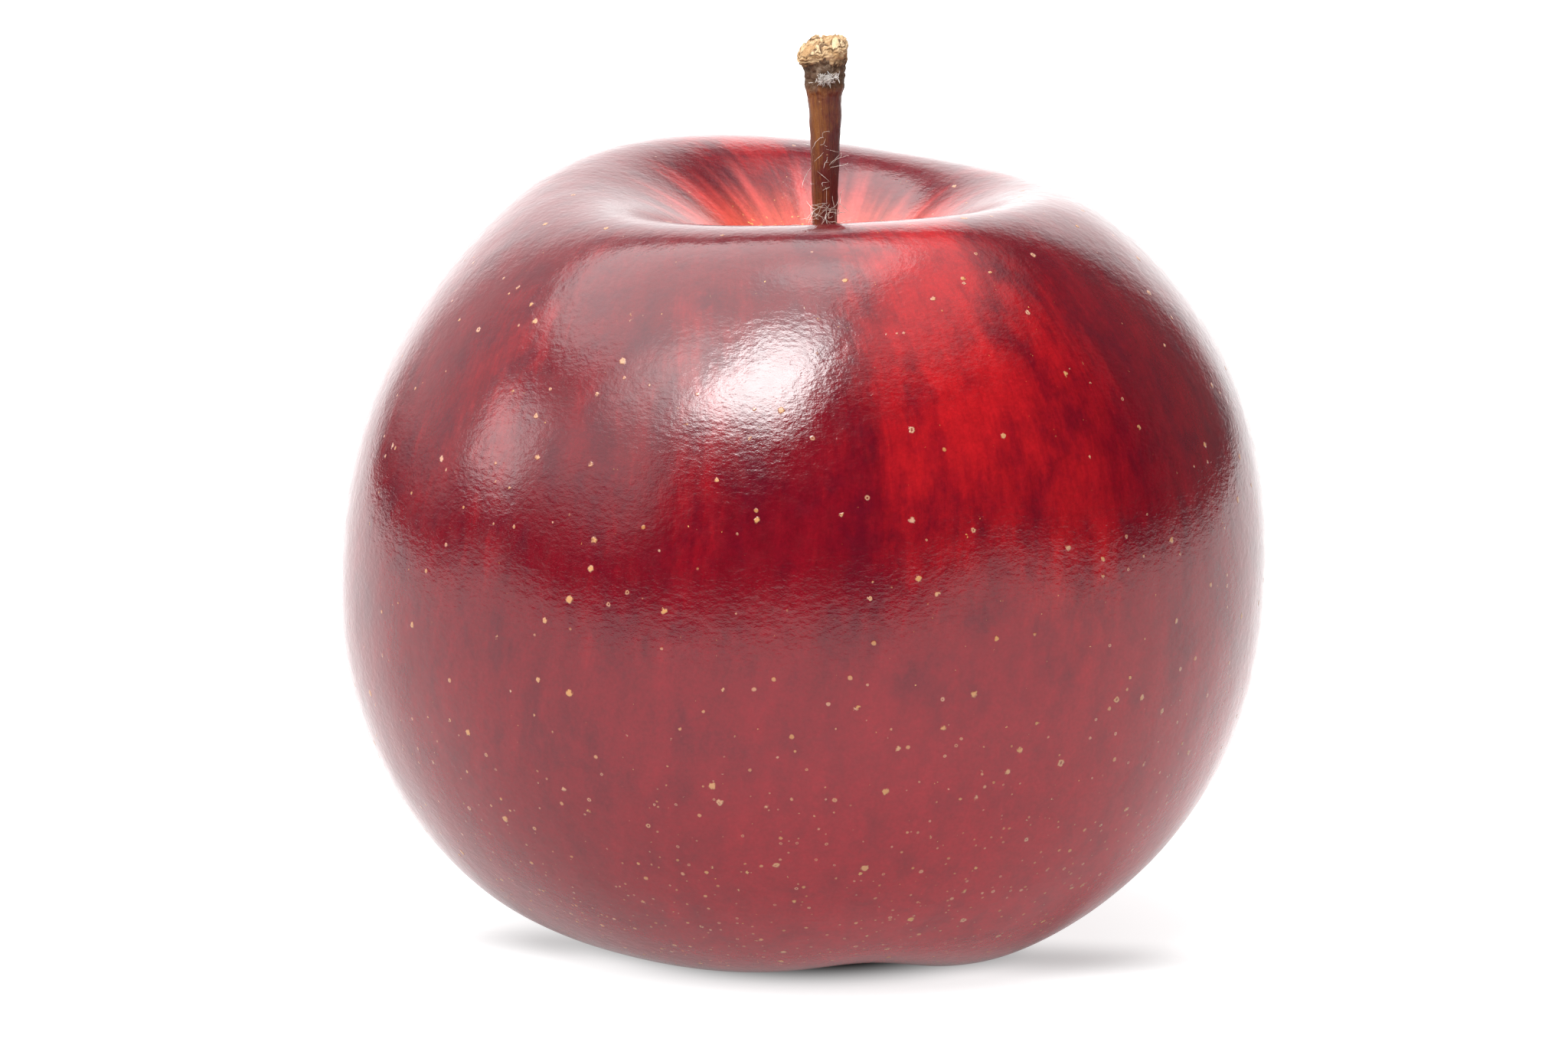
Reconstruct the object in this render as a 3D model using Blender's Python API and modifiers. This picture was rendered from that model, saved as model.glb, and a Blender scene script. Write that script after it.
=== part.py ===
"""A ripe red apple standing on its base: the fruit, its stalk, and the dried flower
remains (sepals, stamens, styles) in the eye on the underside.

Metres, +Z up. The origin is on the surface it stands on, under the middle of the fruit.
The fruit is written as a distance from its heart in every direction: theta is the angle
down from +Z, phi the angle round from +X. The front of the apple faces -Y.
"""

import math

import bmesh
import bpy
import numpy as np
from mathutils import Matrix, Vector

MM = 0.001

# Driving dimensions of the fruit
FRUIT_RADIUS = 40.0 * MM
HEART_HEIGHT = 31.4 * MM            # heart of the fruit above the surface it stands on
UPPER_HEIGHT = 42.5 * MM            # heart to crown, before the stem bowl is sunk
UPPER_ROUNDNESS = 2.05              # 2 is an ellipse, more is squarer
UPPER_SIDE_CHANGE = -0.05           # change of roundness from the left side to the right
LOWER_HEIGHT = 36.2 * MM            # heart to base, before the eye basin is sunk
LOWER_ROUNDNESS = 2.13
LOWER_SIDE_CHANGE = 0.15
RINGS = 60
SEGMENTS = 64

# Hollows at the two ends: depth, angular half width, steepness of the wall
STEM_BOWL = (16.2 * MM, 0.474, 3.2)
BOWL_SQUEEZE = 0.15                 # the stem bowl is this much narrower from side to side
STEM_FUNNEL = (4.0 * MM, 0.17, 2.0)
EYE_BASIN = (9.5 * MM, 0.43, 2.1)
EYE_CUP = (5.0 * MM, 0.21, 2.8)

# Uneven growth
LEAN = 0.049                        # rise of the whole fruit towards +X
BOWL_SHIFT = 1.75 * MM              # the stem bowl sits to the +X side
BOWL_SHIFT_ANGLE = 0.55
SHOULDER_ANGLE = 0.60
SHOULDER_WAVES = ((0, -0.48 * MM, 0.0), (1, 1.92 * MM, 130.0), (2, 1.50 * MM, -74.0),
                  (3, 0.16 * MM, 10.0))     # waves round it, height, turn in degrees
LOBE_ANGLE = 0.45
LOBE_WIDTH = math.radians(23.0)
LOBE_HEIGHTS = (1.47 * MM, 1.22 * MM, 0.91 * MM, 0.62 * MM, 0.38 * MM)
VALLEY_TURN = math.radians(-76.0)   # the deepest valley between two lobes
VALLEY_WIDTH = math.radians(14.0)
VALLEY_DEPTH = 0.70 * MM

# Stalk
STALK_THICKNESS = 2.10 * MM
STALK_TOP = 77.8 * MM
STALK_TOP_SPREAD = 2.15 * MM        # how much wider the knob at the top is
STALK_KNOB_LENGTH = 6.2 * MM
STALK_FOOT_SPREAD = 0.25 * MM
STALK_SEAT_DEPTH = 2.4 * MM
STALK_ROWS = 18
STALK_BOW = 0.25 * MM

# Dried flower in the eye
SEPALS = 5
SEPAL_LENGTH = 5.2 * MM
SEPAL_WIDTH = 3.1 * MM
SEPAL_THICKNESS = 0.34 * MM
SEPAL_RING = 3.20 * MM
STAMENS = 15
STAMEN_RING = 1.55 * MM
STAMEN_LENGTH = 2.3 * MM
STAMEN_BASE = 0.30 * MM
STYLES = 5
STYLE_RING = 0.42 * MM
STYLE_LENGTH = 2.6 * MM
STYLE_BASE = 0.80 * MM
STYLE_BASE_DEPTH = 0.90 * MM
FILAMENT_THICKNESS = 0.30 * MM

GAP = 0.3 * MM

SKIN = ("apple_skin", (0.30, 0.012, 0.020), 0.22, 0.0)
BARK = ("stalk_bark", (0.20, 0.080, 0.022), 0.70, 0.0)
DRY_LEAF = ("dried_sepal", (0.13, 0.085, 0.040), 0.85, 0.0)
DRY_TUFT = ("dried_stamen", (0.060, 0.036, 0.018), 0.90, 0.0)


def clear_scene():
    for old in list(bpy.data.objects):
        bpy.data.objects.remove(old, do_unlink=True)


def make_collection(name):
    group = bpy.data.collections.new(name)
    bpy.context.scene.collection.children.link(group)
    return group


def make_material(finish):
    name, colour, roughness, metallic = finish
    material = bpy.data.materials.new(name)
    material.use_nodes = True
    shader = material.node_tree.nodes["Principled BSDF"]
    shader.inputs["Base Color"].default_value = (*colour, 1.0)
    shader.inputs["Roughness"].default_value = roughness
    shader.inputs["Metallic"].default_value = metallic
    return material


def add_object(name, data, group, material=None):
    made = bpy.data.objects.new(name, data)
    group.objects.link(made)
    if material is not None:
        data.materials.append(material)
    return made


def evaluated_mesh(source):
    bpy.context.view_layer.update()
    graph = bpy.context.evaluated_depsgraph_get()
    return bpy.data.meshes.new_from_object(source.evaluated_get(graph))


def read_points(mesh):
    flat = np.empty(len(mesh.vertices) * 3)
    mesh.vertices.foreach_get("co", flat)
    return flat.reshape(-1, 3)


def write_points(mesh, points):
    mesh.vertices.foreach_set("co", points.ravel())
    mesh.update()


def shade_smooth(mesh, edge_angle):
    mesh.shade_smooth()
    mesh.set_sharp_from_angle(angle=math.radians(edge_angle))


# ---------------------------------------------------------------- the fruit

def swell(angle, centre):
    """Smooth rise from 0 at angle 0 to 1 at the centre angle, and back down."""
    ratio = angle / centre
    return ratio ** 2 * np.exp(1.0 - ratio ** 2)


def hollow(angle, shape):
    depth, half_width, steepness = shape
    return depth * np.exp(-(angle / half_width) ** steepness)


def turn_between(phi, centre):
    return (phi - centre + np.pi) % (2.0 * np.pi) - np.pi


def fruit_distance(theta, phi, lobed=True):
    """Distance from the heart: two half super-ellipses, less the hollows, plus the lobes."""
    side = np.cos(phi) if lobed else 0.0
    above = np.cos(theta) > 0.0
    height = np.where(above, UPPER_HEIGHT, LOWER_HEIGHT)
    roundness = np.where(above, UPPER_ROUNDNESS + UPPER_SIDE_CHANGE * side,
                         LOWER_ROUNDNESS + LOWER_SIDE_CHANGE * side)
    across = (np.sin(theta) / FRUIT_RADIUS) ** roundness
    along = (np.abs(np.cos(theta)) / height) ** roundness
    distance = (across + along) ** (-1.0 / roundness)
    from_base = np.pi - theta
    squeezed = theta / (1.0 - BOWL_SQUEEZE * side ** 2)
    distance = distance - hollow(squeezed, STEM_BOWL) - hollow(theta, STEM_FUNNEL)
    distance = distance - hollow(from_base, EYE_BASIN) - hollow(from_base, EYE_CUP)
    if lobed:
        ring = swell(from_base, LOBE_ANGLE)
        for number, lobe_height in enumerate(LOBE_HEIGHTS):
            centre = VALLEY_TURN + 2.0 * np.pi * (number + 0.5) / len(LOBE_HEIGHTS)
            lobe = np.exp(-(turn_between(phi, centre) / LOBE_WIDTH) ** 2)
            distance = distance + lobe_height * ring * lobe
        valley = np.exp(-(turn_between(phi, VALLEY_TURN) / VALLEY_WIDTH) ** 2)
        distance = distance - VALLEY_DEPTH * ring * valley
    return distance


def fruit_surface(theta, phi):
    """Points of the grown, uneven fruit, standing on z = 0 on its lobes' flat spots."""
    distance = fruit_distance(theta, phi)
    x = distance * np.sin(theta) * np.cos(phi)
    y = distance * np.sin(theta) * np.sin(phi)
    z = distance * np.cos(theta) + x * LEAN
    shoulder = swell(theta, SHOULDER_ANGLE)
    for order, height, turn in SHOULDER_WAVES:
        z = z + height * shoulder * np.cos(order * (phi - math.radians(turn)))
    x = x + BOWL_SHIFT * np.exp(-(theta / BOWL_SHIFT_ANGLE) ** 2)
    return np.stack([x, y, np.maximum(z + HEART_HEIGHT, 0.0)], axis=-1)


def turned_fruit():
    """A smooth turned body: the half profile runs from the stem bowl to the eye."""
    theta = np.linspace(0.0, np.pi, RINGS + 1)
    distance = fruit_distance(theta, 0.0, lobed=False)
    radius = distance * np.sin(theta)
    radius[[0, -1]] = 0.0
    height = distance * np.cos(theta)
    points = [(r, 0.0, z) for r, z in zip(radius, height)]
    profile = bpy.data.meshes.new("fruit_profile")
    profile.from_pydata(points, [(i, i + 1) for i in range(RINGS)], [])
    return profile


def add_screw(target):
    screw = target.modifiers.new("turn", "SCREW")
    screw.axis = "Z"
    screw.angle = 2.0 * math.pi
    screw.steps = SEGMENTS
    screw.render_steps = SEGMENTS
    screw.use_merge_vertices = True
    screw.merge_threshold = 0.01 * MM


def build_fruit(group, cutters, material):
    guide = add_object("turned_body", turned_fruit(), cutters)
    add_screw(guide)
    mesh = evaluated_mesh(guide)
    bpy.data.objects.remove(guide, do_unlink=True)
    points = read_points(mesh)
    theta = np.arctan2(np.hypot(points[:, 0], points[:, 1]), points[:, 2])
    phi = np.arctan2(points[:, 1], points[:, 0])
    write_points(mesh, fruit_surface(theta, phi))
    shade_smooth(mesh, 40.0)
    fruit = add_object("fruit", mesh, group, material)
    seat = add_cylinder("stalk_seat", cutters, seat_radius(), stalk_foot() - GAP,
                        stalk_foot() + 3.0 * STALK_SEAT_DEPTH, BOWL_SHIFT)
    cut = fruit.modifiers.new("stalk_seat", "BOOLEAN")
    cut.operation = "DIFFERENCE"
    cut.object = seat
    return fruit


def add_cylinder(name, group, radius, low, high, x):
    """A round cutter standing on the line x, y = 0 between two heights."""
    mesh = bpy.data.meshes.new(name)
    shape = bmesh.new()
    bmesh.ops.create_cone(shape, cap_ends=True, segments=24, radius1=radius, radius2=radius,
                          depth=high - low)
    shape.to_mesh(mesh)
    shape.free()
    cutter = add_object(name, mesh, group)
    cutter.location = (x, 0.0, 0.5 * (low + high))
    cutter.hide_render = True
    cutter.display_type = "WIRE"
    return cutter


# ---------------------------------------------------------------- the stalk

def bowl_floor():
    """Height of the bottom of the stem bowl."""
    return float(fruit_surface(np.array([0.0]), np.array([0.0]))[0, 2])


def stalk_foot():
    return bowl_floor() - STALK_SEAT_DEPTH


def seat_radius():
    return 0.5 * (STALK_THICKNESS + STALK_FOOT_SPREAD) + GAP


def stalk_radius(height):
    """Slim shaft, a slightly swollen foot, and a knob that flares towards the top."""
    from_foot = height - stalk_foot()
    from_top = STALK_TOP - height
    foot = STALK_FOOT_SPREAD * math.exp(-(from_foot / (2.0 * STALK_SEAT_DEPTH)) ** 2)
    knob = STALK_TOP_SPREAD * math.exp(-(from_top / STALK_KNOB_LENGTH) ** 1.3)
    rounding = 0.20 * max(0.0, 1.0 - from_top / (0.9 * MM)) ** 2
    return 0.5 * (STALK_THICKNESS + foot + knob) * (1.0 - rounding)


def stalk_centre(height):
    along = (height - stalk_foot()) / (STALK_TOP - stalk_foot())
    return BOWL_SHIFT + STALK_BOW * math.sin(math.pi * along) * along


def new_tube(name, centres, radii, group, sides_level):
    """A round tube through the centres, as a curve with its own radius at each point."""
    data = bpy.data.curves.new(name, "CURVE")
    data.dimensions = "3D"
    data.bevel_depth = 1.0 * MM
    data.bevel_resolution = sides_level
    data.use_fill_caps = True
    spline = data.splines.new("POLY")
    spline.points.add(len(centres) - 1)
    for point, centre, radius in zip(spline.points, centres, radii):
        point.co = (*centre, 1.0)
        point.radius = radius / data.bevel_depth
    return add_object(name, data, group)


def build_stalk(group, material):
    share = np.linspace(0.0, 1.0, STALK_ROWS)
    share = 1.0 - (1.0 - share) ** 1.4          # rows lie closer together at the knob
    heights = stalk_foot() + share * (STALK_TOP - stalk_foot())
    centres = [(stalk_centre(h), 0.0, h) for h in heights]
    stalk = new_tube("stalk", centres, [stalk_radius(h) for h in heights], group, 4)
    stalk.data.materials.append(material)
    return stalk


# ---------------------------------------------------------------- the dried flower

def eye_wall_height(radius):
    """Height of the eye's wall, at a distance from its middle, above the resting surface."""
    theta = np.linspace(np.pi, np.pi - LOBE_ANGLE, 200)
    distance = fruit_distance(theta, 0.0, lobed=False)
    return HEART_HEIGHT + float(np.interp(radius, distance * np.sin(theta),
                                          distance * np.cos(theta)))


def sepal_point(across, along):
    """Place on a sepal: across -1..1, along 0 at its foot to 1 at its tip.

    The sepal drops from the eye's rim, leans in over the eye and curls back at its tip.
    """
    half_width = 0.5 * SEPAL_WIDTH * (1.0 - along ** 1.6) ** 0.9 + 0.15 * MM
    drop = SEPAL_LENGTH * (0.95 * along - 0.18 * along ** 3)
    inward = 1.7 * MM * math.sin(0.5 * math.pi * along) - 1.2 * MM * along ** 5
    trough = 0.35 * MM * (1.0 - across ** 2) * (1.0 - along)
    return Vector((SEPAL_RING - inward + trough, across * half_width, -drop))


def build_sepal(number, group, material):
    mesh = bpy.data.meshes.new("sepal_%d" % number)
    shape = bmesh.new()
    bmesh.ops.create_grid(shape, x_segments=4, y_segments=8, size=1.0)
    for vertex in shape.verts:
        vertex.co = sepal_point(vertex.co.x, 0.5 * (vertex.co.y + 1.0))
    bmesh.ops.recalc_face_normals(shape, faces=shape.faces)
    shape.to_mesh(mesh)
    shape.free()
    turn = VALLEY_TURN + 2.0 * math.pi * number / SEPALS
    reach = math.hypot(SEPAL_RING + 0.6 * MM, 0.5 * SEPAL_WIDTH)
    place = Matrix.Translation((0.0, 0.0, eye_wall_height(reach) - GAP))
    mesh.transform(place @ Matrix.Rotation(turn, 4, "Z"))
    shade_smooth(mesh, 50.0)
    sepal = add_object(mesh.name, mesh, group, material)
    wall = sepal.modifiers.new("thickness", "SOLIDIFY")
    wall.thickness = SEPAL_THICKNESS
    wall.offset = 0.0
    return sepal


def filament_mesh(name, group, turn, ring, top, length, spread):
    """One dried thread hanging down from a height, with a thicker tip."""
    centres = []
    for step in range(6):
        along = step / 5.0
        radius = ring + spread * along ** 2
        bend = turn + 0.35 * along ** 2
        centres.append((radius * math.cos(bend), radius * math.sin(bend), top - along * length))
    half = 0.5 * FILAMENT_THICKNESS
    radii = [half, half, 0.9 * half, 0.9 * half, 1.45 * half, 1.1 * half]
    tube = new_tube(name, centres, radii, group, 1)
    mesh = evaluated_mesh(tube)
    bpy.data.objects.remove(tube, do_unlink=True)
    shape = bmesh.new()
    shape.from_mesh(mesh)
    bmesh.ops.remove_doubles(shape, verts=shape.verts, dist=0.001 * MM)
    bmesh.ops.recalc_face_normals(shape, faces=shape.faces)
    shape.to_mesh(mesh)
    shape.free()
    return mesh


def join_threads(base, count, ring, length, spread, cutters):
    """Joins a ring of threads to their common base, one Boolean union for each."""
    top = base.location.z
    for number in range(count):
        name = "%s_thread_%02d" % (base.name, number)
        turn = 2.0 * math.pi * number / count
        reach = length * (1.0 - 0.18 * (number % 3))
        mesh = filament_mesh(name, cutters, turn, ring, top, reach, spread)
        thread = add_object(name, mesh, cutters)
        thread.hide_render = True
        thread.display_type = "WIRE"
        union = base.modifiers.new(name, "BOOLEAN")
        union.operation = "UNION"
        union.object = thread


def build_stamens(group, cutters, material):
    """Dried stamens: threads on a low ring round the middle of the eye."""
    bpy.ops.mesh.primitive_torus_add(major_segments=30, minor_segments=10,
                                     major_radius=STAMEN_RING, minor_radius=STAMEN_BASE)
    ring = bpy.context.object
    ring.name = "stamens"
    for owner in list(ring.users_collection):
        owner.objects.unlink(ring)
    group.objects.link(ring)
    ring.location.z = eye_wall_height(STAMEN_RING + STAMEN_BASE) - GAP - STAMEN_BASE
    ring.data.materials.append(material)
    join_threads(ring, STAMENS, STAMEN_RING, STAMEN_LENGTH, -0.15 * MM, cutters)
    return ring


def build_styles(group, cutters, material):
    """Dried styles: five short threads grown together at their foot."""
    mesh = bpy.data.meshes.new("styles")
    shape = bmesh.new()
    bmesh.ops.create_cone(shape, cap_ends=True, segments=16, radius1=0.7 * STYLE_BASE,
                          radius2=STYLE_BASE, depth=STYLE_BASE_DEPTH)
    shape.to_mesh(mesh)
    shape.free()
    foot = add_object("styles", mesh, group, material)
    foot.location.z = eye_wall_height(STYLE_BASE) - GAP - 0.5 * STYLE_BASE_DEPTH
    join_threads(foot, STYLES, STYLE_RING, STYLE_LENGTH, 0.15 * MM, cutters)
    return foot


def main():
    clear_scene()
    apple = make_collection("apple")
    cutters = make_collection("cutters")
    build_fruit(apple, cutters, make_material(SKIN))
    build_stalk(apple, make_material(BARK))
    leaf = make_material(DRY_LEAF)
    for number in range(1, SEPALS + 1):
        build_sepal(number, apple, leaf)
    tuft = make_material(DRY_TUFT)
    build_stamens(apple, cutters, tuft)
    build_styles(apple, cutters, tuft)
    cutters.hide_render = True


main()
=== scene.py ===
"""A ripe red apple in a white studio, laid out as an add-on.

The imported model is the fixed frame. Every visible piece is worked out with numpy from the
boxes of the frame's nodes, and stands for the plain solid in the same place.
Metres, +Z up. The heart of the fruit is the point its shape is measured from: theta is
the angle down from +Z, phi the angle round from +X, and the front faces -Y.
"""

import math

import bpy
import numpy as np
from bpy.props import FloatProperty, FloatVectorProperty, IntProperty, PointerProperty
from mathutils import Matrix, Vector


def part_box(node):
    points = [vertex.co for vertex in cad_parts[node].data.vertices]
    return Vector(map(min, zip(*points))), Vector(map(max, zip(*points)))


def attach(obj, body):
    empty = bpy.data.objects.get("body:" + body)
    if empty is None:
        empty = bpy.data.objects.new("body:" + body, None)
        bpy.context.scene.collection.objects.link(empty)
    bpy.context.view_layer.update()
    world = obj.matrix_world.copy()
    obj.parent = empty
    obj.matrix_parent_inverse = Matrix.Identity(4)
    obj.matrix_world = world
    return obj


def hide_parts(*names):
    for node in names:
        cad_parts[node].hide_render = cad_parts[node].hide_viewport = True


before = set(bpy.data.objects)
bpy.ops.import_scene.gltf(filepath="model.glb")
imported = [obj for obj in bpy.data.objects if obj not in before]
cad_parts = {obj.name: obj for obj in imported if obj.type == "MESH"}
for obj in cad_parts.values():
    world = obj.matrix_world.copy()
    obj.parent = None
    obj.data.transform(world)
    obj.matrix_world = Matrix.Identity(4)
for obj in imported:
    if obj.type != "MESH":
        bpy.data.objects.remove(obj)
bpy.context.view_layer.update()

bl_info = {
    "name": "Ripe Red Apple",
    "version": (1, 0, 0),
    "blender": (4, 5, 0),
    "location": "View3D > Sidebar > Apple",
    "description": "Builds a red apple with its stalk and dried flower, and a white studio",
    "category": "Add Mesh",
}

# ------------------------------------------------------------------ sizes from the frame

MM = 0.001
FRUIT_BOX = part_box("fruit")
STALK_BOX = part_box("stalk")
SEPAL_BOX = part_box("sepal_1")
STAMEN_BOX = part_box("stamens")
STYLE_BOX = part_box("styles")
FRUIT_RADIUS = 0.5 * (FRUIT_BOX[1].x - FRUIT_BOX[0].x)
HEART_HEIGHT = 0.785 * FRUIT_RADIUS
STALK_FOOT = STALK_BOX[0].z
STALK_TOP = STALK_BOX[1].z
SEPAL_COUNT = sum(name.startswith("sepal_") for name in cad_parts)

# The fruit's shape. Lengths are shares of its radius.
UPPER_HALF = (1.0625, 2.05, -0.05)      # height, roundness, change of roundness to +X
LOWER_HALF = (0.905, 2.13, 0.15)
STEM_BOWL = (0.405, 0.474, 3.2)         # depth, angular half width, steepness
BOWL_SQUEEZE = 0.15                     # the bowl is this much narrower from side to side
STEM_FUNNEL = (0.100, 0.17, 2.0)
EYE_BASIN = (0.2375, 0.43, 2.1)
EYE_CUP = (0.125, 0.21, 2.8)
LEAN = 0.049
BOWL_SHIFT = (0.04375, 0.55)            # distance towards +X, angular reach
SHOULDER_ANGLE = 0.60
SHOULDER_WAVES = ((0, -0.0120, 0.0), (1, 0.0480, 130.0), (2, 0.0375, -74.0),
                  (3, 0.0040, 10.0))    # waves round it, height, turn in degrees
LOBE_ANGLE = 0.45
LOBE_WIDTH = math.radians(23.0)
LOBE_HEIGHTS = (0.03675, 0.0305, 0.02275, 0.0155, 0.0095)
VALLEY = (math.radians(-76.0), math.radians(14.0), 0.0175)     # turn, width, depth
RINGS = 320
AROUND = 256

# The stalk. Its knob and foot widen it by these amounts over these lengths.
STALK_THICKNESS = 0.0525 * FRUIT_RADIUS
STALK_KNOB = (0.05375 * FRUIT_RADIUS, 0.155 * FRUIT_RADIUS)
STALK_FLARE = (0.00625 * FRUIT_RADIUS, 0.12 * FRUIT_RADIUS)
STALK_X = BOWL_SHIFT[0] * FRUIT_RADIUS
STALK_BOW = 0.00625 * FRUIT_RADIUS


# ------------------------------------------------------------------ small formulas

def gaussian(value, width):
    return np.exp(-(value / width) ** 2)


def smoothstep(value, low, high):
    share = np.clip((value - low) / (high - low), 0.0, 1.0)
    return share * share * (3.0 - 2.0 * share)


def turn_between(phi, centre):
    return (phi - centre + np.pi) % (2.0 * np.pi) - np.pi


def swell(angle, centre):
    """Smooth rise from 0 at angle 0 to 1 at the centre angle, and back down."""
    ratio = angle / centre
    return ratio ** 2 * np.exp(1.0 - ratio ** 2)


def stack(x, y, z):
    return np.stack(np.broadcast_arrays(x, y, z), axis=-1)


def hashed(cell, seed):
    """A number from 0 to 1 for each whole-numbered cell, by multiplying and mixing bits."""
    primes = np.array([73856093, 19349663, 83492791], dtype=np.uint64)
    key = cell.astype(np.int64).astype(np.uint64) * primes
    mixed = key[..., 0] ^ key[..., 1] ^ key[..., 2] ^ np.uint64(seed * 2654435761)
    for shift, factor in ((15, 2246822519), (13, 3266489917), (16, 668265263)):
        mixed = (mixed ^ mixed >> np.uint64(shift)) * np.uint64(factor)
    return (mixed >> np.uint64(20) & np.uint64(0xFFFFF)).astype(float) / 0xFFFFF


def lattice_noise(points, seed):
    """Value noise from -1 to 1: a hashed number at each corner of the unit cell that a
    point is in, blended with quintic weights."""
    cell = np.floor(points)
    part = points - cell
    blend = part ** 3 * (part * (part * 6.0 - 15.0) + 10.0)
    total = np.zeros(points.shape[:-1])
    for corner in range(8):
        offset = np.array([corner & 1, corner >> 1 & 1, corner >> 2 & 1])
        weight = np.where(offset == 1, blend, 1.0 - blend).prod(axis=-1)
        total += (2.0 * hashed(cell + offset, seed) - 1.0) * weight
    return total


def cloud_noise(points, size, seed, octaves=3):
    """Octaves of lattice noise, each half the size and half the height of the last."""
    total = np.zeros(points.shape[:-1])
    for octave in range(octaves):
        total += lattice_noise(points * 2.0 ** octave / size, seed + octave) * 0.5 ** octave
    return total


def plate_noise(points, size, seed):
    """Broken plates: the distance to the nearest scattered point, the extra distance to
    the next one, and the nearest one's own number."""
    places = points / size
    cell = np.floor(places)
    nearest = np.full(points.shape[:-1], 9.0)
    second = nearest.copy()
    number = np.zeros(points.shape[:-1])
    for corner in range(27):
        offset = np.array([corner % 3 - 1, corner // 3 % 3 - 1, corner // 9 - 1])
        there = cell + offset
        jitter = stack(*[hashed(there, seed + axis) for axis in range(3)])
        gap = np.linalg.norm(there + jitter - places, axis=-1)
        closer = gap < nearest
        second = np.where(closer, nearest, np.minimum(second, gap))
        number = np.where(closer, hashed(there, seed + 3), number)
        nearest = np.where(closer, gap, nearest)
    return nearest, second - nearest, number


# ------------------------------------------------------------------ arrays into meshes

def mesh_object(name, points, *face_groups):
    """A mesh object at the origin. Each face group is an array of faces with the same
    number of corners."""
    points = points.reshape(-1, 3).astype(np.float32)
    corners = np.concatenate([group.ravel() for group in face_groups]).astype(np.int32)
    counts = np.concatenate([np.full(len(group), group.shape[1]) for group in face_groups])
    starts = (np.cumsum(counts) - counts).astype(np.int32)
    mesh = bpy.data.meshes.new(name)
    mesh.vertices.add(len(points))
    mesh.vertices.foreach_set("co", points.ravel())
    mesh.loops.add(len(corners))
    mesh.loops.foreach_set("vertex_index", corners)
    mesh.polygons.add(len(starts))
    mesh.polygons.foreach_set("loop_start", starts)
    mesh.update(calc_edges=True)
    mesh.validate()
    mesh.shade_smooth()
    made = bpy.data.objects.new(name, mesh)
    bpy.context.scene.collection.objects.link(made)
    return made


def skin_faces(rings, around):
    """Faces of a closed skin of rings between two poles, as squares and triangles. The
    first pole is point 0, ring r starts at 1 + r * around, and the last pole is last."""
    ring = 1 + np.arange(rings - 1)[:, None] * around
    side = np.arange(around)
    beside = (side + 1) % around
    squares = np.stack([ring + side, ring + around + side, ring + around + beside,
                        ring + beside], axis=-1).reshape(-1, 4)
    last = 1 + (rings - 1) * around
    first_fan = np.stack([0 * side, 1 + side, 1 + beside], axis=-1)
    last_fan = np.stack([0 * side + last + around, last + beside, last + side], axis=-1)
    return squares, np.concatenate([first_fan, last_fan])


def skin_object(name, rings, first_pole=None, last_pole=None):
    """A closed body from rings of points (rings, around, 3), each run counterclockwise as
    seen from the first pole. A pole that isn't given is its ring's middle."""
    first = rings[0].mean(axis=0) if first_pole is None else first_pole
    last = rings[-1].mean(axis=0) if last_pole is None else last_pole
    points = np.concatenate([[first], rings.reshape(-1, 3), [last]])
    return mesh_object(name, points, *skin_faces(*rings.shape[:2]))


def strands_object(name, centres, radii, sides):
    """Many closed round threads in one mesh. centres is (threads, steps, 3) and radii is
    (threads, steps). Each step carries a ring square to its own thread's line."""
    threads, steps = radii.shape
    along = np.gradient(centres, axis=1)
    along /= np.linalg.norm(along, axis=-1, keepdims=True) + 1e-12
    across = np.cross(along, np.array([0.31, 0.17, 0.94]))
    across /= np.linalg.norm(across, axis=-1, keepdims=True) + 1e-12
    upward = np.cross(across, along)
    turn = np.linspace(0.0, 2.0 * np.pi, sides, endpoint=False)[:, None]
    spoke = np.cos(turn) * across[:, :, None] + np.sin(turn) * upward[:, :, None]
    rings = centres[:, :, None] + spoke * radii[:, :, None, None]
    reach = 0.7 * radii[:, [0, -1], None] * along[:, [0, -1]] * np.array([[-1.0], [1.0]])
    tips = centres[:, [0, -1]] + reach
    points = np.concatenate([tips[:, :1], rings.reshape(threads, -1, 3), tips[:, 1:]], axis=1)
    start = points.shape[1] * np.arange(threads)[:, None, None]
    faces = [(group + start).reshape(-1, group.shape[1]) for group in skin_faces(steps, sides)]
    return mesh_object(name, points, *faces)


def add_layer(target, name, values):
    """Stores a number, or a vector, for each point of the mesh."""
    values = np.asarray(values, dtype=np.float32)
    wide = values.ndim > 1
    layer = target.data.attributes.new(name, "FLOAT_VECTOR" if wide else "FLOAT", "POINT")
    layer.data.foreach_set("vector" if wide else "value", values.ravel())


def with_poles(values):
    """A value for each point of a skin, from one for each point of its rings."""
    flat = values.reshape(-1, *values.shape[2:])
    return np.concatenate([flat[:1], flat, flat[-1:]])


def seat_piece(piece, slot, material, *nodes):
    """The piece rides on the apple's one body and stands for the plain nodes."""
    piece.data.materials.append(material)
    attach(piece, "root")
    if nodes:
        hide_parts(*nodes)
    return piece


# ------------------------------------------------------------------ the fruit

def hollow(angle, shape):
    depth, half_width, steepness = shape
    return depth * np.exp(-(angle / half_width) ** steepness)


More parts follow.
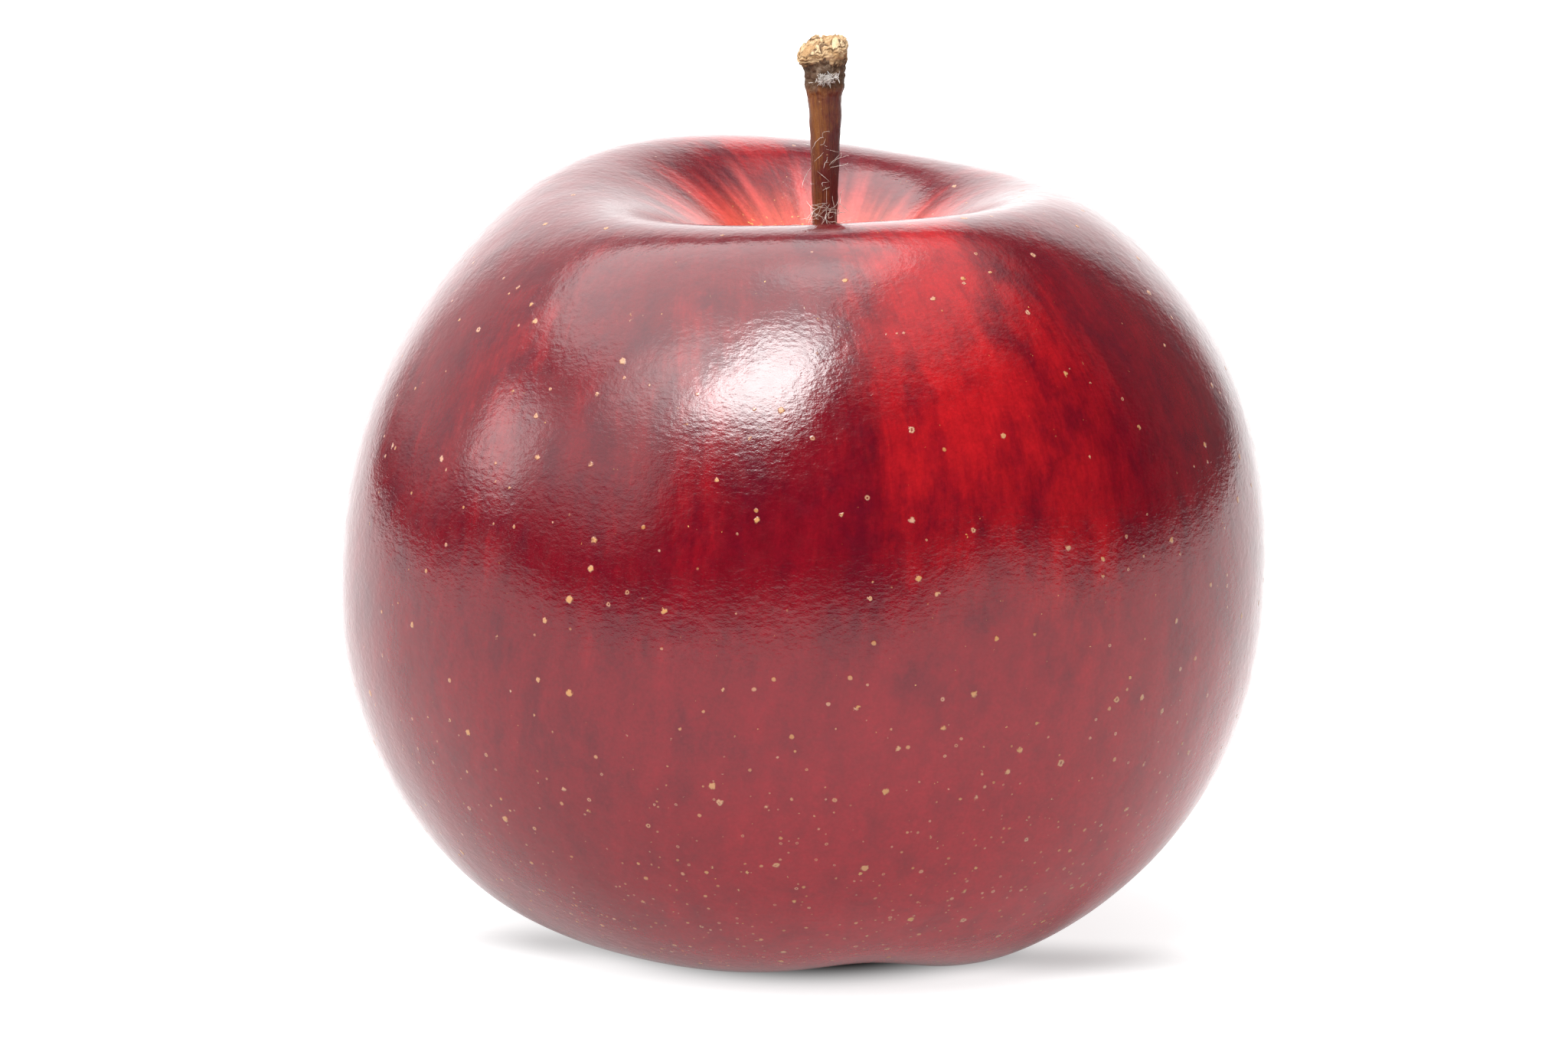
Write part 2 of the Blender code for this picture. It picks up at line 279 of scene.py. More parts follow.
def fruit_distance(theta, phi):
    """Distance from the heart in radii: two half super-ellipses, less the hollows at the
    two ends, plus five lobes round the base, less the deep valley between two of them."""
    above = np.cos(theta) > 0.0
    side = np.cos(phi)
    height = np.where(above, UPPER_HALF[0], LOWER_HALF[0])
    roundness = np.where(above, UPPER_HALF[1] + UPPER_HALF[2] * side,
                         LOWER_HALF[1] + LOWER_HALF[2] * side)
    across = np.abs(np.sin(theta)) ** roundness
    along = (np.abs(np.cos(theta)) / height) ** roundness
    distance = (across + along) ** (-1.0 / roundness)
    from_base = np.pi - theta
    squeezed = theta / (1.0 - BOWL_SQUEEZE * side ** 2)
    distance = distance - hollow(squeezed, STEM_BOWL) - hollow(theta, STEM_FUNNEL)
    distance = distance - hollow(from_base, EYE_BASIN) - hollow(from_base, EYE_CUP)
    ring = swell(from_base, LOBE_ANGLE)
    for number, rise in enumerate(LOBE_HEIGHTS):
        centre = VALLEY[0] + 2.0 * np.pi * (number + 0.5) / len(LOBE_HEIGHTS)
        distance = distance + rise * ring * gaussian(turn_between(phi, centre), LOBE_WIDTH)
    return distance - VALLEY[2] * ring * gaussian(turn_between(phi, VALLEY[0]), VALLEY[1])


def fruit_points(theta, phi, relief=0.0):
    """Points of the fruit. The distance from the heart, with a fine relief added, is turned
    into a point, leaned, waved round the shoulder and shifted at the stem bowl. Nothing
    goes below the surface that the apple stands on."""
    distance = fruit_distance(theta, phi) * FRUIT_RADIUS + relief
    x = distance * np.sin(theta) * np.cos(phi)
    y = distance * np.sin(theta) * np.sin(phi)
    z = distance * np.cos(theta) + x * LEAN + HEART_HEIGHT
    shoulder = swell(theta, SHOULDER_ANGLE) * FRUIT_RADIUS
    for order, height, turn in SHOULDER_WAVES:
        z = z + height * shoulder * np.cos(order * (phi - math.radians(turn)))
    x = x + STALK_X * gaussian(theta, BOWL_SHIFT[1])
    return stack(x, y, np.maximum(z, 0.0))


# Height and size of each kind of relief. The last two sizes are on a unit circle.
DENTS = (0.065 * MM, 15.0 * MM)
RIPPLES = (0.018 * MM, 4.2 * MM)
EYE_FOLDS = (0.22 * MM, 0.30)
PLEATS = (0.10 * MM, 0.22)


def skin_relief(theta, phi):
    """Uneven growth of the skin: slow dents and ripples over the cheeks, folds that run
    into the eye, and fine pleats round the foot of the stalk."""
    ball = FRUIT_RADIUS * stack(np.sin(theta) * np.cos(phi), np.sin(theta) * np.sin(phi),
                                np.cos(theta))
    dents = DENTS[0] * cloud_noise(ball, DENTS[1], 11, 2)
    ripples = RIPPLES[0] * cloud_noise(ball * [1.0, 1.0, 0.7], RIPPLES[1], 21, 2)
    spin = stack(np.cos(phi), np.sin(phi), 0.0)
    eye_folds = EYE_FOLDS[0] * cloud_noise(spin, EYE_FOLDS[1], 31, 2) * swell(np.pi - theta, 0.20)
    pleats = PLEATS[0] * cloud_noise(spin, PLEATS[1], 41, 2) * swell(theta, 0.10)
    calm = smoothstep(theta, 0.02, 0.10) * smoothstep(np.pi - theta, 0.02, 0.10)
    return dents + ripples * calm + eye_folds + pleats


def ring_angles():
    """Angles of the rings from the stalk to the eye, closest where the skin turns most."""
    fine = np.linspace(0.004, np.pi - 0.006, 4000)
    profile = fruit_points(fine, np.zeros_like(fine))
    step = np.linalg.norm(np.gradient(profile, axis=0), axis=-1)
    wanted = 0.10 + 0.45 * smoothstep(fine, 0.04, 0.16) * smoothstep(np.pi - fine, 0.0, 0.30)
    share = np.cumsum(step / wanted)
    share = (share - share[0]) / (share[-1] - share[0])
    return np.interp(np.linspace(0.0, 1.0, RINGS), share, fine)


def skin_length(points):
    """Distance along the skin from the stalk, in fruit radii, for each point of the rings."""
    step = np.linalg.norm(np.diff(points, axis=0), axis=-1) / FRUIT_RADIUS
    return np.concatenate([np.zeros((1, points.shape[1])), np.cumsum(step, axis=0)])


SEAT_WALL = (1.16 * MM, 1.52 * MM)       # from the stalk's middle to the wall's foot and top
SEAT_DEPTH = 1.9 * MM
SEAT_LIP = (1.75 * MM, 0.30 * MM, 0.16 * MM)        # from the stalk's middle, width, height


def from_stalk(points):
    """Distance of each point from the middle line of the stalk's foot."""
    return np.hypot(points[..., 0] - STALK_X, points[..., 1])


def sink_seat(points):
    """Lowers the skin beside the stalk into a narrow seat with a small raised lip."""
    away = from_stalk(points)
    inside = 1.0 - smoothstep(away, *SEAT_WALL)
    lip = SEAT_LIP[2] * gaussian(away - SEAT_LIP[0], SEAT_LIP[1])
    above = points[..., 2] > HEART_HEIGHT
    points[..., 2] += np.where(above, lip - SEAT_DEPTH * inside, 0.0)
    return points


# Turn and half turn in degrees, upper and lower edge as angles from the top, strength
BRIGHT_CHEEKS = ((-69.0, 16.0, 0.54, 1.44, 0.83), (-56.0, 11.0, 0.80, 1.56, 0.58),
                 (-104.0, 12.0, 0.80, 1.50, 0.22), (-136.0, 12.0, 0.75, 1.45, 0.22),
                 (35.0, 17.0, 0.50, 1.60, 0.45), (112.0, 24.0, 0.45, 1.60, 0.75),
                 (170.0, 12.0, 0.70, 1.50, 0.40))


# Angles from the top where each layer begins and ends, and distances from the stalk
BOWL_EDGE = (0.25, 0.45)
LOW_EDGE = (0.9, 2.5)
# Painted light low down, and painted shade at the foot
PAINTED_LIGHT_EDGE = (0.9, 2.4)
FOOT_SHADE = (2.42, 2.66)
RUSSET_EDGE = (2.0 * MM, 13.5 * MM)


def bright_cheeks(theta, phi, ragged):
    """Where the skin is bright, with the ragged edges that streaks give it."""
    blush = np.zeros_like(theta)
    for turn, half_turn, high, low, strength in BRIGHT_CHEEKS:
        side = np.abs(turn_between(phi, math.radians(turn))) / math.radians(half_turn)
        wide = 1.0 - smoothstep(side + ragged, 0.15, 1.35)
        deep = smoothstep(theta + 0.3 * ragged, high - 0.14, high + 0.14)
        deep = deep * (1.0 - smoothstep(theta + 0.6 * ragged, low - 0.36, low + 0.22))
        blush = np.maximum(blush, strength * wide * deep)
    return blush


def painted_low_light(theta, phi):
    """Painted light on the lower half: lighter low down, most to the front and +X side, least at
    the foot, where it gives way to painted shade.
    """
    side = 0.48 + 0.58 * np.maximum(np.cos(phi + 0.35), -0.2)
    return smoothstep(theta, *PAINTED_LIGHT_EDGE) * side * (1.0 - 0.85 * smoothstep(theta, *FOOT_SHADE))


def fruit_layers(skin, theta, phi, points):
    """Layers that the skin's finish reads: the way it grew, where it is bright, pale or russet, and
    the painted light low down with painted shade at the foot. A streak follows the first two
    numbers of growth round the fruit."""
    drift = 0.10 * np.sin(3.0 * theta + 1.0)
    growth = stack(np.cos(phi + drift), np.sin(phi + drift), skin_length(points))
    spin = stack(np.cos(phi), np.sin(phi), 0.25 * theta)
    ragged = 0.16 * cloud_noise(spin, 0.10, 51, 3)
    russet = 1.0 - smoothstep(from_stalk(points), *RUSSET_EDGE)
    layers = {"growth": growth,
              "blush": bright_cheeks(theta, phi, ragged),
              "bowl": 1.0 - smoothstep(theta + 0.35 * ragged, *BOWL_EDGE),
              "russet": np.where(theta < 0.5 * np.pi, russet, 0.0),
              "low": smoothstep(theta, *LOW_EDGE),
              "painted_light": painted_low_light(theta, phi)}
    for name, values in layers.items():
        add_layer(skin, name, with_poles(values))


def even_turns(count):
    """Evenly spaced turns round a piece, as one row."""
    return np.linspace(-np.pi, np.pi, count, endpoint=False)[None, :]


def build_fruit():
    theta = ring_angles()[:, None]
    theta, phi = np.broadcast_arrays(theta, even_turns(AROUND))
    points = sink_seat(fruit_points(theta, phi, skin_relief(theta, phi)))
    skin = skin_object("fruit_skin", points)
    fruit_layers(skin, theta, phi, points)
    return skin


# ------------------------------------------------------------------ the stalk

def stalk_radius(height):
    """Slim shaft, a slightly swollen foot, and a knob that flares towards the top."""
    foot = STALK_FLARE[0] * gaussian(height - STALK_FOOT, STALK_FLARE[1])
    knob = STALK_KNOB[0] * np.exp(-(np.maximum(STALK_TOP - height, 0.0) / STALK_KNOB[1]) ** 1.3)
    return 0.5 * (STALK_THICKNESS + foot + knob)


def stalk_centre(height):
    along = (height - STALK_FOOT) / (STALK_TOP - STALK_FOOT)
    return STALK_X + STALK_BOW * np.sin(np.pi * along) * along


def stalk_rings(phi, height, swelling):
    """Rings round the stalk's own slightly bowed line, widened by a share of its radius."""
    radius = stalk_radius(height) * (1.0 + swelling)
    return stack(stalk_centre(height) + radius * np.cos(phi), radius * np.sin(phi), height)


BARK_GRID = (260, 144)                              # rings, and points round each
CORK_THICKNESS = 2.0 * MM
SHEAR_SLOPE = (0.10 * MM, math.radians(200.0))      # height, and the turn where it is highest
SHEAR_RAG = 0.38 * MM
CORK_OVERLAP = 0.25 * MM                            # of bark and cork, out of sight
CHAR_EDGE = (3.2 * MM, 6.5 * MM)                    # below the top, where charring dies away
COLLAR = (4.6 * MM, 0.5 * MM)                       # below the top, and width


def shear_line(phi):
    """Height of the ragged edge where the bark ends and the torn cork begins."""
    slope = SHEAR_SLOPE[0] * np.cos(phi - SHEAR_SLOPE[1])
    rag = SHEAR_RAG * cloud_noise(stack(np.cos(phi), np.sin(phi), 0.0), 0.55, 61, 3)
    return STALK_TOP - CORK_THICKNESS + slope + rag


def build_bark(settings):
    """The shaft: long ridges that twist a little as they rise, fine fibres, cracks and
    scales near the top."""
    phi = even_turns(BARK_GRID[1])
    share = np.linspace(1.0, 0.0, BARK_GRID[0])[:, None]
    top = shear_line(phi) + CORK_OVERLAP
    height = STALK_FOOT + share * (top - STALK_FOOT)
    spin = phi + 0.035 * (height - STALK_FOOT) / MM
    round_line = stack(np.cos(spin), np.sin(spin), 0.020 * height / MM)
    ridges = 0.032 * np.cos(settings.ridges * spin + 1.6 * np.sin(0.25 * height / MM))
    fibres = 0.030 * cloud_noise(round_line, 0.16, 71, 3)
    place = stack(np.cos(phi), np.sin(phi), height / MM)
    lumps = 0.050 * cloud_noise(place, 1.9, 81, 3)
    near_top = 1.0 - smoothstep(STALK_TOP - height, *CHAR_EDGE)
    gap = plate_noise(place * [1.0, 1.0, 0.45], 0.34, 91)[1]
    cracks = -0.070 * (1.0 - smoothstep(gap, 0.0, 0.25)) * near_top
    scales = 0.045 * cloud_noise(place, 0.40, 93, 3) * near_top
    collar = 0.04 * gaussian(STALK_TOP - height - COLLAR[0], COLLAR[1])
    swelling = ridges * (1.0 - 0.6 * near_top) + fibres + lumps + cracks + scales + collar
    bark = skin_object("stalk_bark", stalk_rings(phi, height, swelling))
    add_layer(bark, "rise", with_poles(share + 0.0 * phi))
    add_layer(bark, "growth", with_poles(round_line))
    add_layer(bark, "charred", with_poles(near_top + 0.0 * phi))
    return bark


CORK_GRID = (80, 34, 180)                           # rings of the face and of the wall, points
CORK_TILT = (0.22, 0.20)                            # slope of the torn face to +X and +Y
CORK_DOME = 0.55 * MM
CORK_GRIT = 0.16 * MM
PLATE_SIZE = 0.82                                   # in millimetres
PLATE_RISE = 0.34 * MM
CRACK_DEPTH = 0.22 * MM
CORK_SKIRT = 0.30 * MM                              # how far the cork hides the bark's edge


def torn_face(x, y, inward):
    """Heights over the torn end: a tilted dome broken into plates, with cracks between them.
    Also how deep the cracks are, from 0 to 1, and each plate's own number."""
    flat = stack(x, y, 0.0) / MM
    warp = stack(cloud_noise(flat, 0.8, 107, 2), cloud_noise(flat, 0.8, 109, 2), 0.0)
    torn = flat + 0.30 * warp
    gap_edge, number = plate_noise(torn * [0.75, 1.15, 1.0], PLATE_SIZE, 111)[1:]
    crack = 1.0 - smoothstep(gap_edge, 0.0, 0.16)
    tilt = CORK_TILT[0] * x + CORK_TILT[1] * y - 0.05 * (x / MM) ** 2 * MM
    dome = -CORK_DOME * inward ** 4
    plates = PLATE_RISE * (number - 0.5) * (1.0 - inward ** 6)
    grit = CORK_GRIT * cloud_noise(torn, 0.45, 121, 4)
    return tilt + dome + plates - CRACK_DEPTH * crack + grit, crack, number


def build_cork():
    """The torn end: a lumpy cap of splintered cork, higher at the back and the right, that
    overhangs the bark on the left. Its rings run in over the top and out below."""
    phi = even_turns(CORK_GRID[2])
    inward = np.linspace(0.02, 1.0, CORK_GRID[0])[:, None]
    downward = np.linspace(0.0, 1.0, CORK_GRID[1])[1:, None]
    edge_x, edge_y = np.cos(phi), np.sin(phi)
    outline = 1.0 + 0.09 * cloud_noise(stack(edge_x, edge_y, 0.0), 0.7, 101, 3)
    overhang = 0.96 + 0.15 * np.maximum(-edge_x, 0.0) ** 2
    reach = 0.97 * stalk_radius(STALK_TOP) * outline * overhang
    x = reach * inward * edge_x
    y = reach * inward * edge_y
    face, crack, number = torn_face(x, y, inward)
    rim = face[-1:]
    bottom = shear_line(phi) - STALK_TOP - CORK_SKIRT
    bulge = 1.0 + 0.05 * np.sin(np.pi * downward) - 0.11 * downward ** 2
    bulge = bulge + 0.070 * cloud_noise(stack(edge_x, edge_y, 2.0 * downward), 0.35, 131, 4)
    fall = rim + (bottom - rim) * downward
    wall = stack(bulge * reach * edge_x, bulge * reach * edge_y, fall)
    rings = np.concatenate([stack(x, y, face), wall])
    rings[..., 0] += stalk_centre(STALK_TOP)
    rings[..., 2] += STALK_TOP - rings[..., 2].max()
    cork = skin_object("stalk_cork", rings)
    # Painted shade: the wall darkens towards its foot, kept in the crack layer beside the face's
    # real cracks.
    painted_shade = 0.72 * smoothstep(downward, 0.25, 0.9) + 0.0 * phi
    add_layer(cork, "crack", with_poles(np.concatenate([crack, painted_shade])))
    add_layer(cork, "plate", with_poles(np.concatenate([number, 0.45 + 0.0 * painted_shade])))
    return cork


HAIR_STEPS = 14
TUFT_PLACE = (0.22 * MM, 3.65 * MM)                 # to +X of the stalk, and below its top
TUFT_SPREAD = (0.42 * MM, 0.0, 0.13 * MM)


def wandering_threads(rng, starts, lengths, steps, headings, curl):
    """Lines that set out from their starts and turn a little at each step, more for a
    bigger curl. Each has its own length."""
    threads = len(starts)
    turns = rng.normal(0.0, curl, (threads, steps, 3))
    turns = turns + rng.normal(0.0, 0.6 * curl, (threads, 1, 3))
    heading = headings[:, None] + np.cumsum(turns, axis=1)
    heading /= np.linalg.norm(heading, axis=-1, keepdims=True)
    step = heading * (lengths / steps)[:, None, None]
    return starts[:, None] + np.cumsum(step, axis=1)


def hug_stalk(lines, clearance):
    """Pushes the points of the lines out to just clear of the stalk's bark."""
    centre = stalk_centre(lines[..., 2])
    x, y = lines[..., 0] - centre, lines[..., 1]
    away = np.hypot(x, y)
    wanted = np.maximum(away, stalk_radius(lines[..., 2]) * 1.04 + clearance)
    scale = wanted / (away + 1e-9)
    return stack(centre + x * scale, y * scale, lines[..., 2])


def loose_curls(rng, count):
    """Fine curls round the lower third of the stalk, with one in six higher up."""
    phi = np.radians(rng.normal(-80.0, 65.0, count))
    drop = np.where(np.arange(count) % 6 == 0, rng.uniform(8.5, 13.0, count),
                    rng.uniform(14.0, 21.0, count))
    height = STALK_TOP - drop * MM
    radius = 1.04 * stalk_radius(height)
    starts = stack(stalk_centre(height) + radius * np.cos(phi), radius * np.sin(phi), height)
    headings = stack(-np.sin(phi), np.cos(phi), rng.normal(0.4, 0.9, count))
    headings *= rng.choice([-1.0, 1.0], count)[:, None]
    lengths = rng.uniform(0.7, 2.4, count) * MM
    curls = wandering_threads(rng, starts, lengths, HAIR_STEPS, headings, 0.38)
    return hug_stalk(curls, 0.02 * MM + 0.12 * MM * rng.random((count, 1)) ** 2)


def felted_tuft(rng, count):
    """Short hairs matted together at the front, under the knob."""
    middle = np.array([stalk_centre(STALK_TOP) + TUFT_PLACE[0], 0.0, STALK_TOP - TUFT_PLACE[1]])
    spread = rng.normal(0.0, 1.0, (count, 3)) * TUFT_SPREAD
    starts = middle + spread
    starts[:, 2] += 0.22 * spread[:, 0]
    starts[:, 1] = -1.03 * stalk_radius(starts[:, 2])
    headings = rng.normal(0.0, 1.0, (count, 3)) * [1.0, 0.3, 0.5] + [0.2, -0.25, 0.1]
    lengths = rng.uniform(0.3, 0.75, count) * MM
    felt = wandering_threads(rng, starts, lengths, HAIR_STEPS, headings, 0.5)
    return hug_stalk(felt, 0.03 * MM + 0.18 * MM * rng.random((count, 1)))


def build_hairs(settings):
    """Loose white down caught on the stalk, and a small felted tuft."""
    rng = np.random.default_rng(7)
    lines = np.concatenate([loose_curls(rng, settings.hairs),
                            felted_tuft(rng, settings.tuft_hairs)])
    taper = np.sin(np.linspace(0.25, np.pi - 0.12, HAIR_STEPS)) ** 0.5
    thick = np.where(np.arange(len(lines)) < settings.hairs, 0.7, 1.0)[:, None]
    radii = taper * thick * rng.uniform(0.018, 0.034, (len(lines), 1)) * MM
    return strands_object("stalk_down", lines, radii, 4)


# ------------------------------------------------------------------ the dried flower

SEPAL_GRID = (44, 28)                               # rings, and points round each
SEPAL_RING = 3.25 * MM                              # from the middle of the eye to its foot
SEPAL_HALF_WIDTH = 1.5 * MM
SEPAL_TIP = 0.07 * MM                               # half width of the tip
SEPAL_THICKNESS = 0.15 * MM
SEPAL_LEAN = 1.9 * MM                               # how far it leans in over the eye
SEPAL_ROLL = 0.42 * MM
SEPAL_WRINKLE = 0.16 * MM
SEPAL_SWAY = 0.35 * MM


def sepal_surface(around, along, number):
    """Closed flat section carried along a sepal: it drops from the rim of the eye, leans
    in over it, and its shrivelled tip curls back and twists."""
    high, low = SEPAL_BOX[1].z + 0.5 * MM, SEPAL_BOX[0].z + 0.3 * MM
    length = (high - low) * (1.0 - 0.12 * (number % 3))
    half_width = SEPAL_HALF_WIDTH * (1.0 - along ** 1.7) ** 0.8 + SEPAL_TIP
    spine = stack(along, 0.3 * number + 0.0 * along, 0.0 * along)
    folds = stack(3.0 * along, np.cos(around), number)
    wrinkle = SEPAL_WRINKLE * cloud_noise(folds, 0.5, 141, 3)
    roll = SEPAL_ROLL * np.cos(around) ** 2 * (0.3 + along)
    thickness = SEPAL_THICKNESS * (1.0 - 0.5 * along)
    curl = (1.1 + 0.5 * (number % 2)) * MM
    inward = SEPAL_LEAN * np.sin(0.5 * np.pi * along) - curl * along ** 5
    sway = SEPAL_SWAY * cloud_noise(spine, 0.6, 151, 2) * along
    x = SEPAL_RING - inward + roll + thickness * np.sin(around) + wrinkle
    y = half_width * np.cos(around) + sway
    z = high - length * (0.95 * along - 0.16 * along ** 3) + 0.3 * wrinkle
    return stack(x, y, z)


def turned(points, angle):
    """The points turned about +Z through the middle of the fruit."""
    cos, sin = math.cos(angle), math.sin(angle)
    x, y, z = points[..., 0], points[..., 1], points[..., 2]
    return stack(cos * x - sin * y, sin * x + cos * y, z)


def build_sepal(number):
    around = np.linspace(0.0, 2.0 * np.pi, SEPAL_GRID[1], endpoint=False)[None, :]
    along = np.linspace(0.0, 1.0, SEPAL_GRID[0])[:, None]
    points = sepal_surface(around, along, number)
    turn = VALLEY[0] + 2.0 * math.pi * number / SEPAL_COUNT
    sepal = skin_object("sepal_leaf_%d" % number, turned(points, turn))
    add_layer(sepal, "rise", with_poles(along + 0.0 * around))
    return sepal


THREAD_STEPS = 16
DOWN_STEPS = 9
STAMENS = 20
STAMEN_RING = 1.55 * MM
STYLES = 5
STYLE_RING = 0.34 * MM
THREAD_ROOT = 0.3 * MM                              # how far each thread starts inside the flesh


def flower_threads(rng, count, ring, top, low, spread, wobble):
    """Threads that hang from a ring, each turned, bent and cut to its own length."""
    turn = 2.0 * np.pi * (np.arange(count) + rng.uniform(-0.25, 0.25, count)) / count
    along = np.linspace(0.0, 1.0, THREAD_STEPS)
    length = (top - low) * rng.uniform(0.72, 1.0, count)
    bend = turn[:, None] + rng.normal(0.0, 0.5, (count, 1)) * along ** 2
    radius = ring + spread * along ** 2 + rng.normal(0.0, wobble, (count, 1)) * along ** 2
    height = top - length[:, None] * along
    return stack(radius * np.cos(bend), radius * np.sin(bend), height)


def build_stamens():
    """Dried stamens: a ring of shrunken filaments, each with the husk of its anther."""
    rng = np.random.default_rng(17)
    lines = flower_threads(rng, STAMENS, STAMEN_RING, STAMEN_BOX[1].z + THREAD_ROOT,
                           STAMEN_BOX[0].z, -0.15 * MM, 0.20 * MM)
    share = np.linspace(0.0, 1.0, THREAD_STEPS)
    radii = 0.11 * MM + 0.10 * MM * (1.0 - share) ** 4 + 0.15 * MM * gaussian(share - 0.9, 0.08)
    radii = radii * rng.uniform(0.85, 1.15, (STAMENS, 1))
    return strands_object("stamen_threads", lines, radii, 10)


def build_styles():
    """Dried styles: five threads grown together over the first half of their length."""
    rng = np.random.default_rng(23)
    lines = flower_threads(rng, STYLES, STYLE_RING, STYLE_BOX[1].z + THREAD_ROOT,
                           STYLE_BOX[0].z, 0.20 * MM, 0.10 * MM)
    share = np.linspace(0.0, 1.0, THREAD_STEPS)
    radii = 0.15 * MM + 0.36 * MM * (1.0 - smoothstep(share, 0.0, 0.55))
    radii = radii + 0.10 * MM * gaussian(share - 0.97, 0.05) + np.zeros((STYLES, 1))
    return strands_object("style_threads", lines, radii, 12)


def build_flower_down(settings):
    """Short grey down that stands on the sepals and fills the eye."""
    rng = np.random.default_rng(29)
    count = settings.down
    turn = rng.uniform(0.0, 2.0 * np.pi, count)
    radius = rng.uniform(1.6, 3.3, count) * MM
    height = SEPAL_BOX[0].z + rng.uniform(0.15, 1.0, count) * (SEPAL_BOX[1].z - SEPAL_BOX[0].z)
    starts = stack(radius * np.cos(turn), radius * np.sin(turn), height)
    headings = rng.normal(0.0, 1.0, (count, 3)) + [0.0, 0.0, -0.3]
    lengths = rng.uniform(0.5, 1.3, count) * MM
    lines = wandering_threads(rng, starts, lengths, DOWN_STEPS, headings, 0.3)
    lines[..., 2] = np.maximum(lines[..., 2], SEPAL_BOX[0].z)
    radii = rng.uniform(0.012, 0.022, (count, 1)) * MM * np.linspace(1.0, 0.4, DOWN_STEPS)
    return strands_object("flower_down", lines, radii, 4)


# ------------------------------------------------------------------ node wiring

def add_node(tree, kind, inputs=None, **settings):
    """A shader node with its settings. Each input is given a value, or a socket to link."""
    made = tree.nodes.new("ShaderNode" + kind)
    for key, value in settings.items():
        setattr(made, key, value)
    for key, value in (inputs or {}).items():
        if isinstance(value, bpy.types.NodeSocket):
            tree.links.new(value, made.inputs[key])
        else:
            made.inputs[key].default_value = value
    return made


def maths(tree, operation, *values):
    return add_node(tree, "Math", dict(enumerate(values)), operation=operation).outputs[0]


def times(tree, first, second):
    return maths(tree, "MULTIPLY", first, second)


def plus(tree, first, second):
    return maths(tree, "ADD", first, second)


def vector_maths(tree, operation, first, second):
    return add_node(tree, "VectorMath", {0: first, 1: second}, operation=operation).outputs[0]


def scaled(tree, vector, scale):
    """The vector with each of its three numbers multiplied."""
    return vector_maths(tree, "MULTIPLY", vector, scale)


def ramp(tree, value, low, high, bottom=0.0, top=1.0, kind="SMOOTHSTEP"):
    """The value from low to high, smoothly remapped to run from bottom to top."""
    values = {"Value": value, "From Min": low, "From Max": high, "To Min": bottom, "To Max": top}
    return add_node(tree, "MapRange", values, interpolation_type=kind).outputs["Result"]


def blend(tree, share, first, second, kind="MIX"):
    """A colour mixed from two by a share."""
    made = add_node(tree, "Mix", data_type="RGBA", blend_type=kind)
    for socket, value in zip((made.inputs[0], made.inputs[6], made.inputs[7]),
                             (share, first, second)):
        if isinstance(value, bpy.types.NodeSocket):
            tree.links.new(value, socket)
        elif socket.type == "RGBA":
            socket.default_value = (*value[:3], 1.0)
        else:
            socket.default_value = value
    return made.outputs[2]


def cloud(tree, vector, scale, detail=2.0, roughness=0.55):
    values = {"Vector": vector, "Scale": scale, "Detail": detail, "Roughness": roughness}
    return add_node(tree, "TexNoise", values).outputs["Fac"]


def grey(tree, value):
    """A colour with the value in all three parts."""
    return add_node(tree, "CombineColor", {0: value, 1: value, 2: value}).outputs[0]


def layer(tree, name, output="Fac"):
    return add_node(tree, "Attribute", attribute_name=name).outputs[output]


def millimetres(tree):
    """Object coordinates in millimetres."""
    place = add_node(tree, "TexCoord").outputs["Object"]
    return scaled(tree, place, (1.0 / MM,) * 3)


def bump(tree, height, depth, under=None):
    """A bump whose height, from 0 to 1, stands for a depth in metres."""
    values = {"Height": height, "Distance": depth, "Strength": 1.0}
    if under is not None:
        values["Normal"] = under
    return add_node(tree, "Bump", values).outputs["Normal"]


def new_group(name, inputs, outputs):
    """An empty node group. Inputs are (name, kind, value) and outputs are (name, kind)."""
    tree = bpy.data.node_groups.new(name, "ShaderNodeTree")
    for title, kind, value in inputs:
        socket = tree.interface.new_socket(title, in_out="INPUT", socket_type="NodeSocket" + kind)
        if value is not None:
            socket.default_value = value
    for title, kind in outputs:
        tree.interface.new_socket(title, in_out="OUTPUT", socket_type="NodeSocket" + kind)
    return tree, tree.nodes.new("NodeGroupInput").outputs, tree.nodes.new("NodeGroupOutput").inputs


def place_group(tree, group, **inputs):
    made = tree.nodes.new("ShaderNodeGroup")
    made.node_tree = group
    for key, value in inputs.items():
        socket = made.inputs[key.replace("_", " ")]
        if isinstance(value, bpy.types.NodeSocket):
            tree.links.new(value, socket)
        else:
            socket.default_value = value
    return made.outputs


# ------------------------------------------------------------------ shared effects

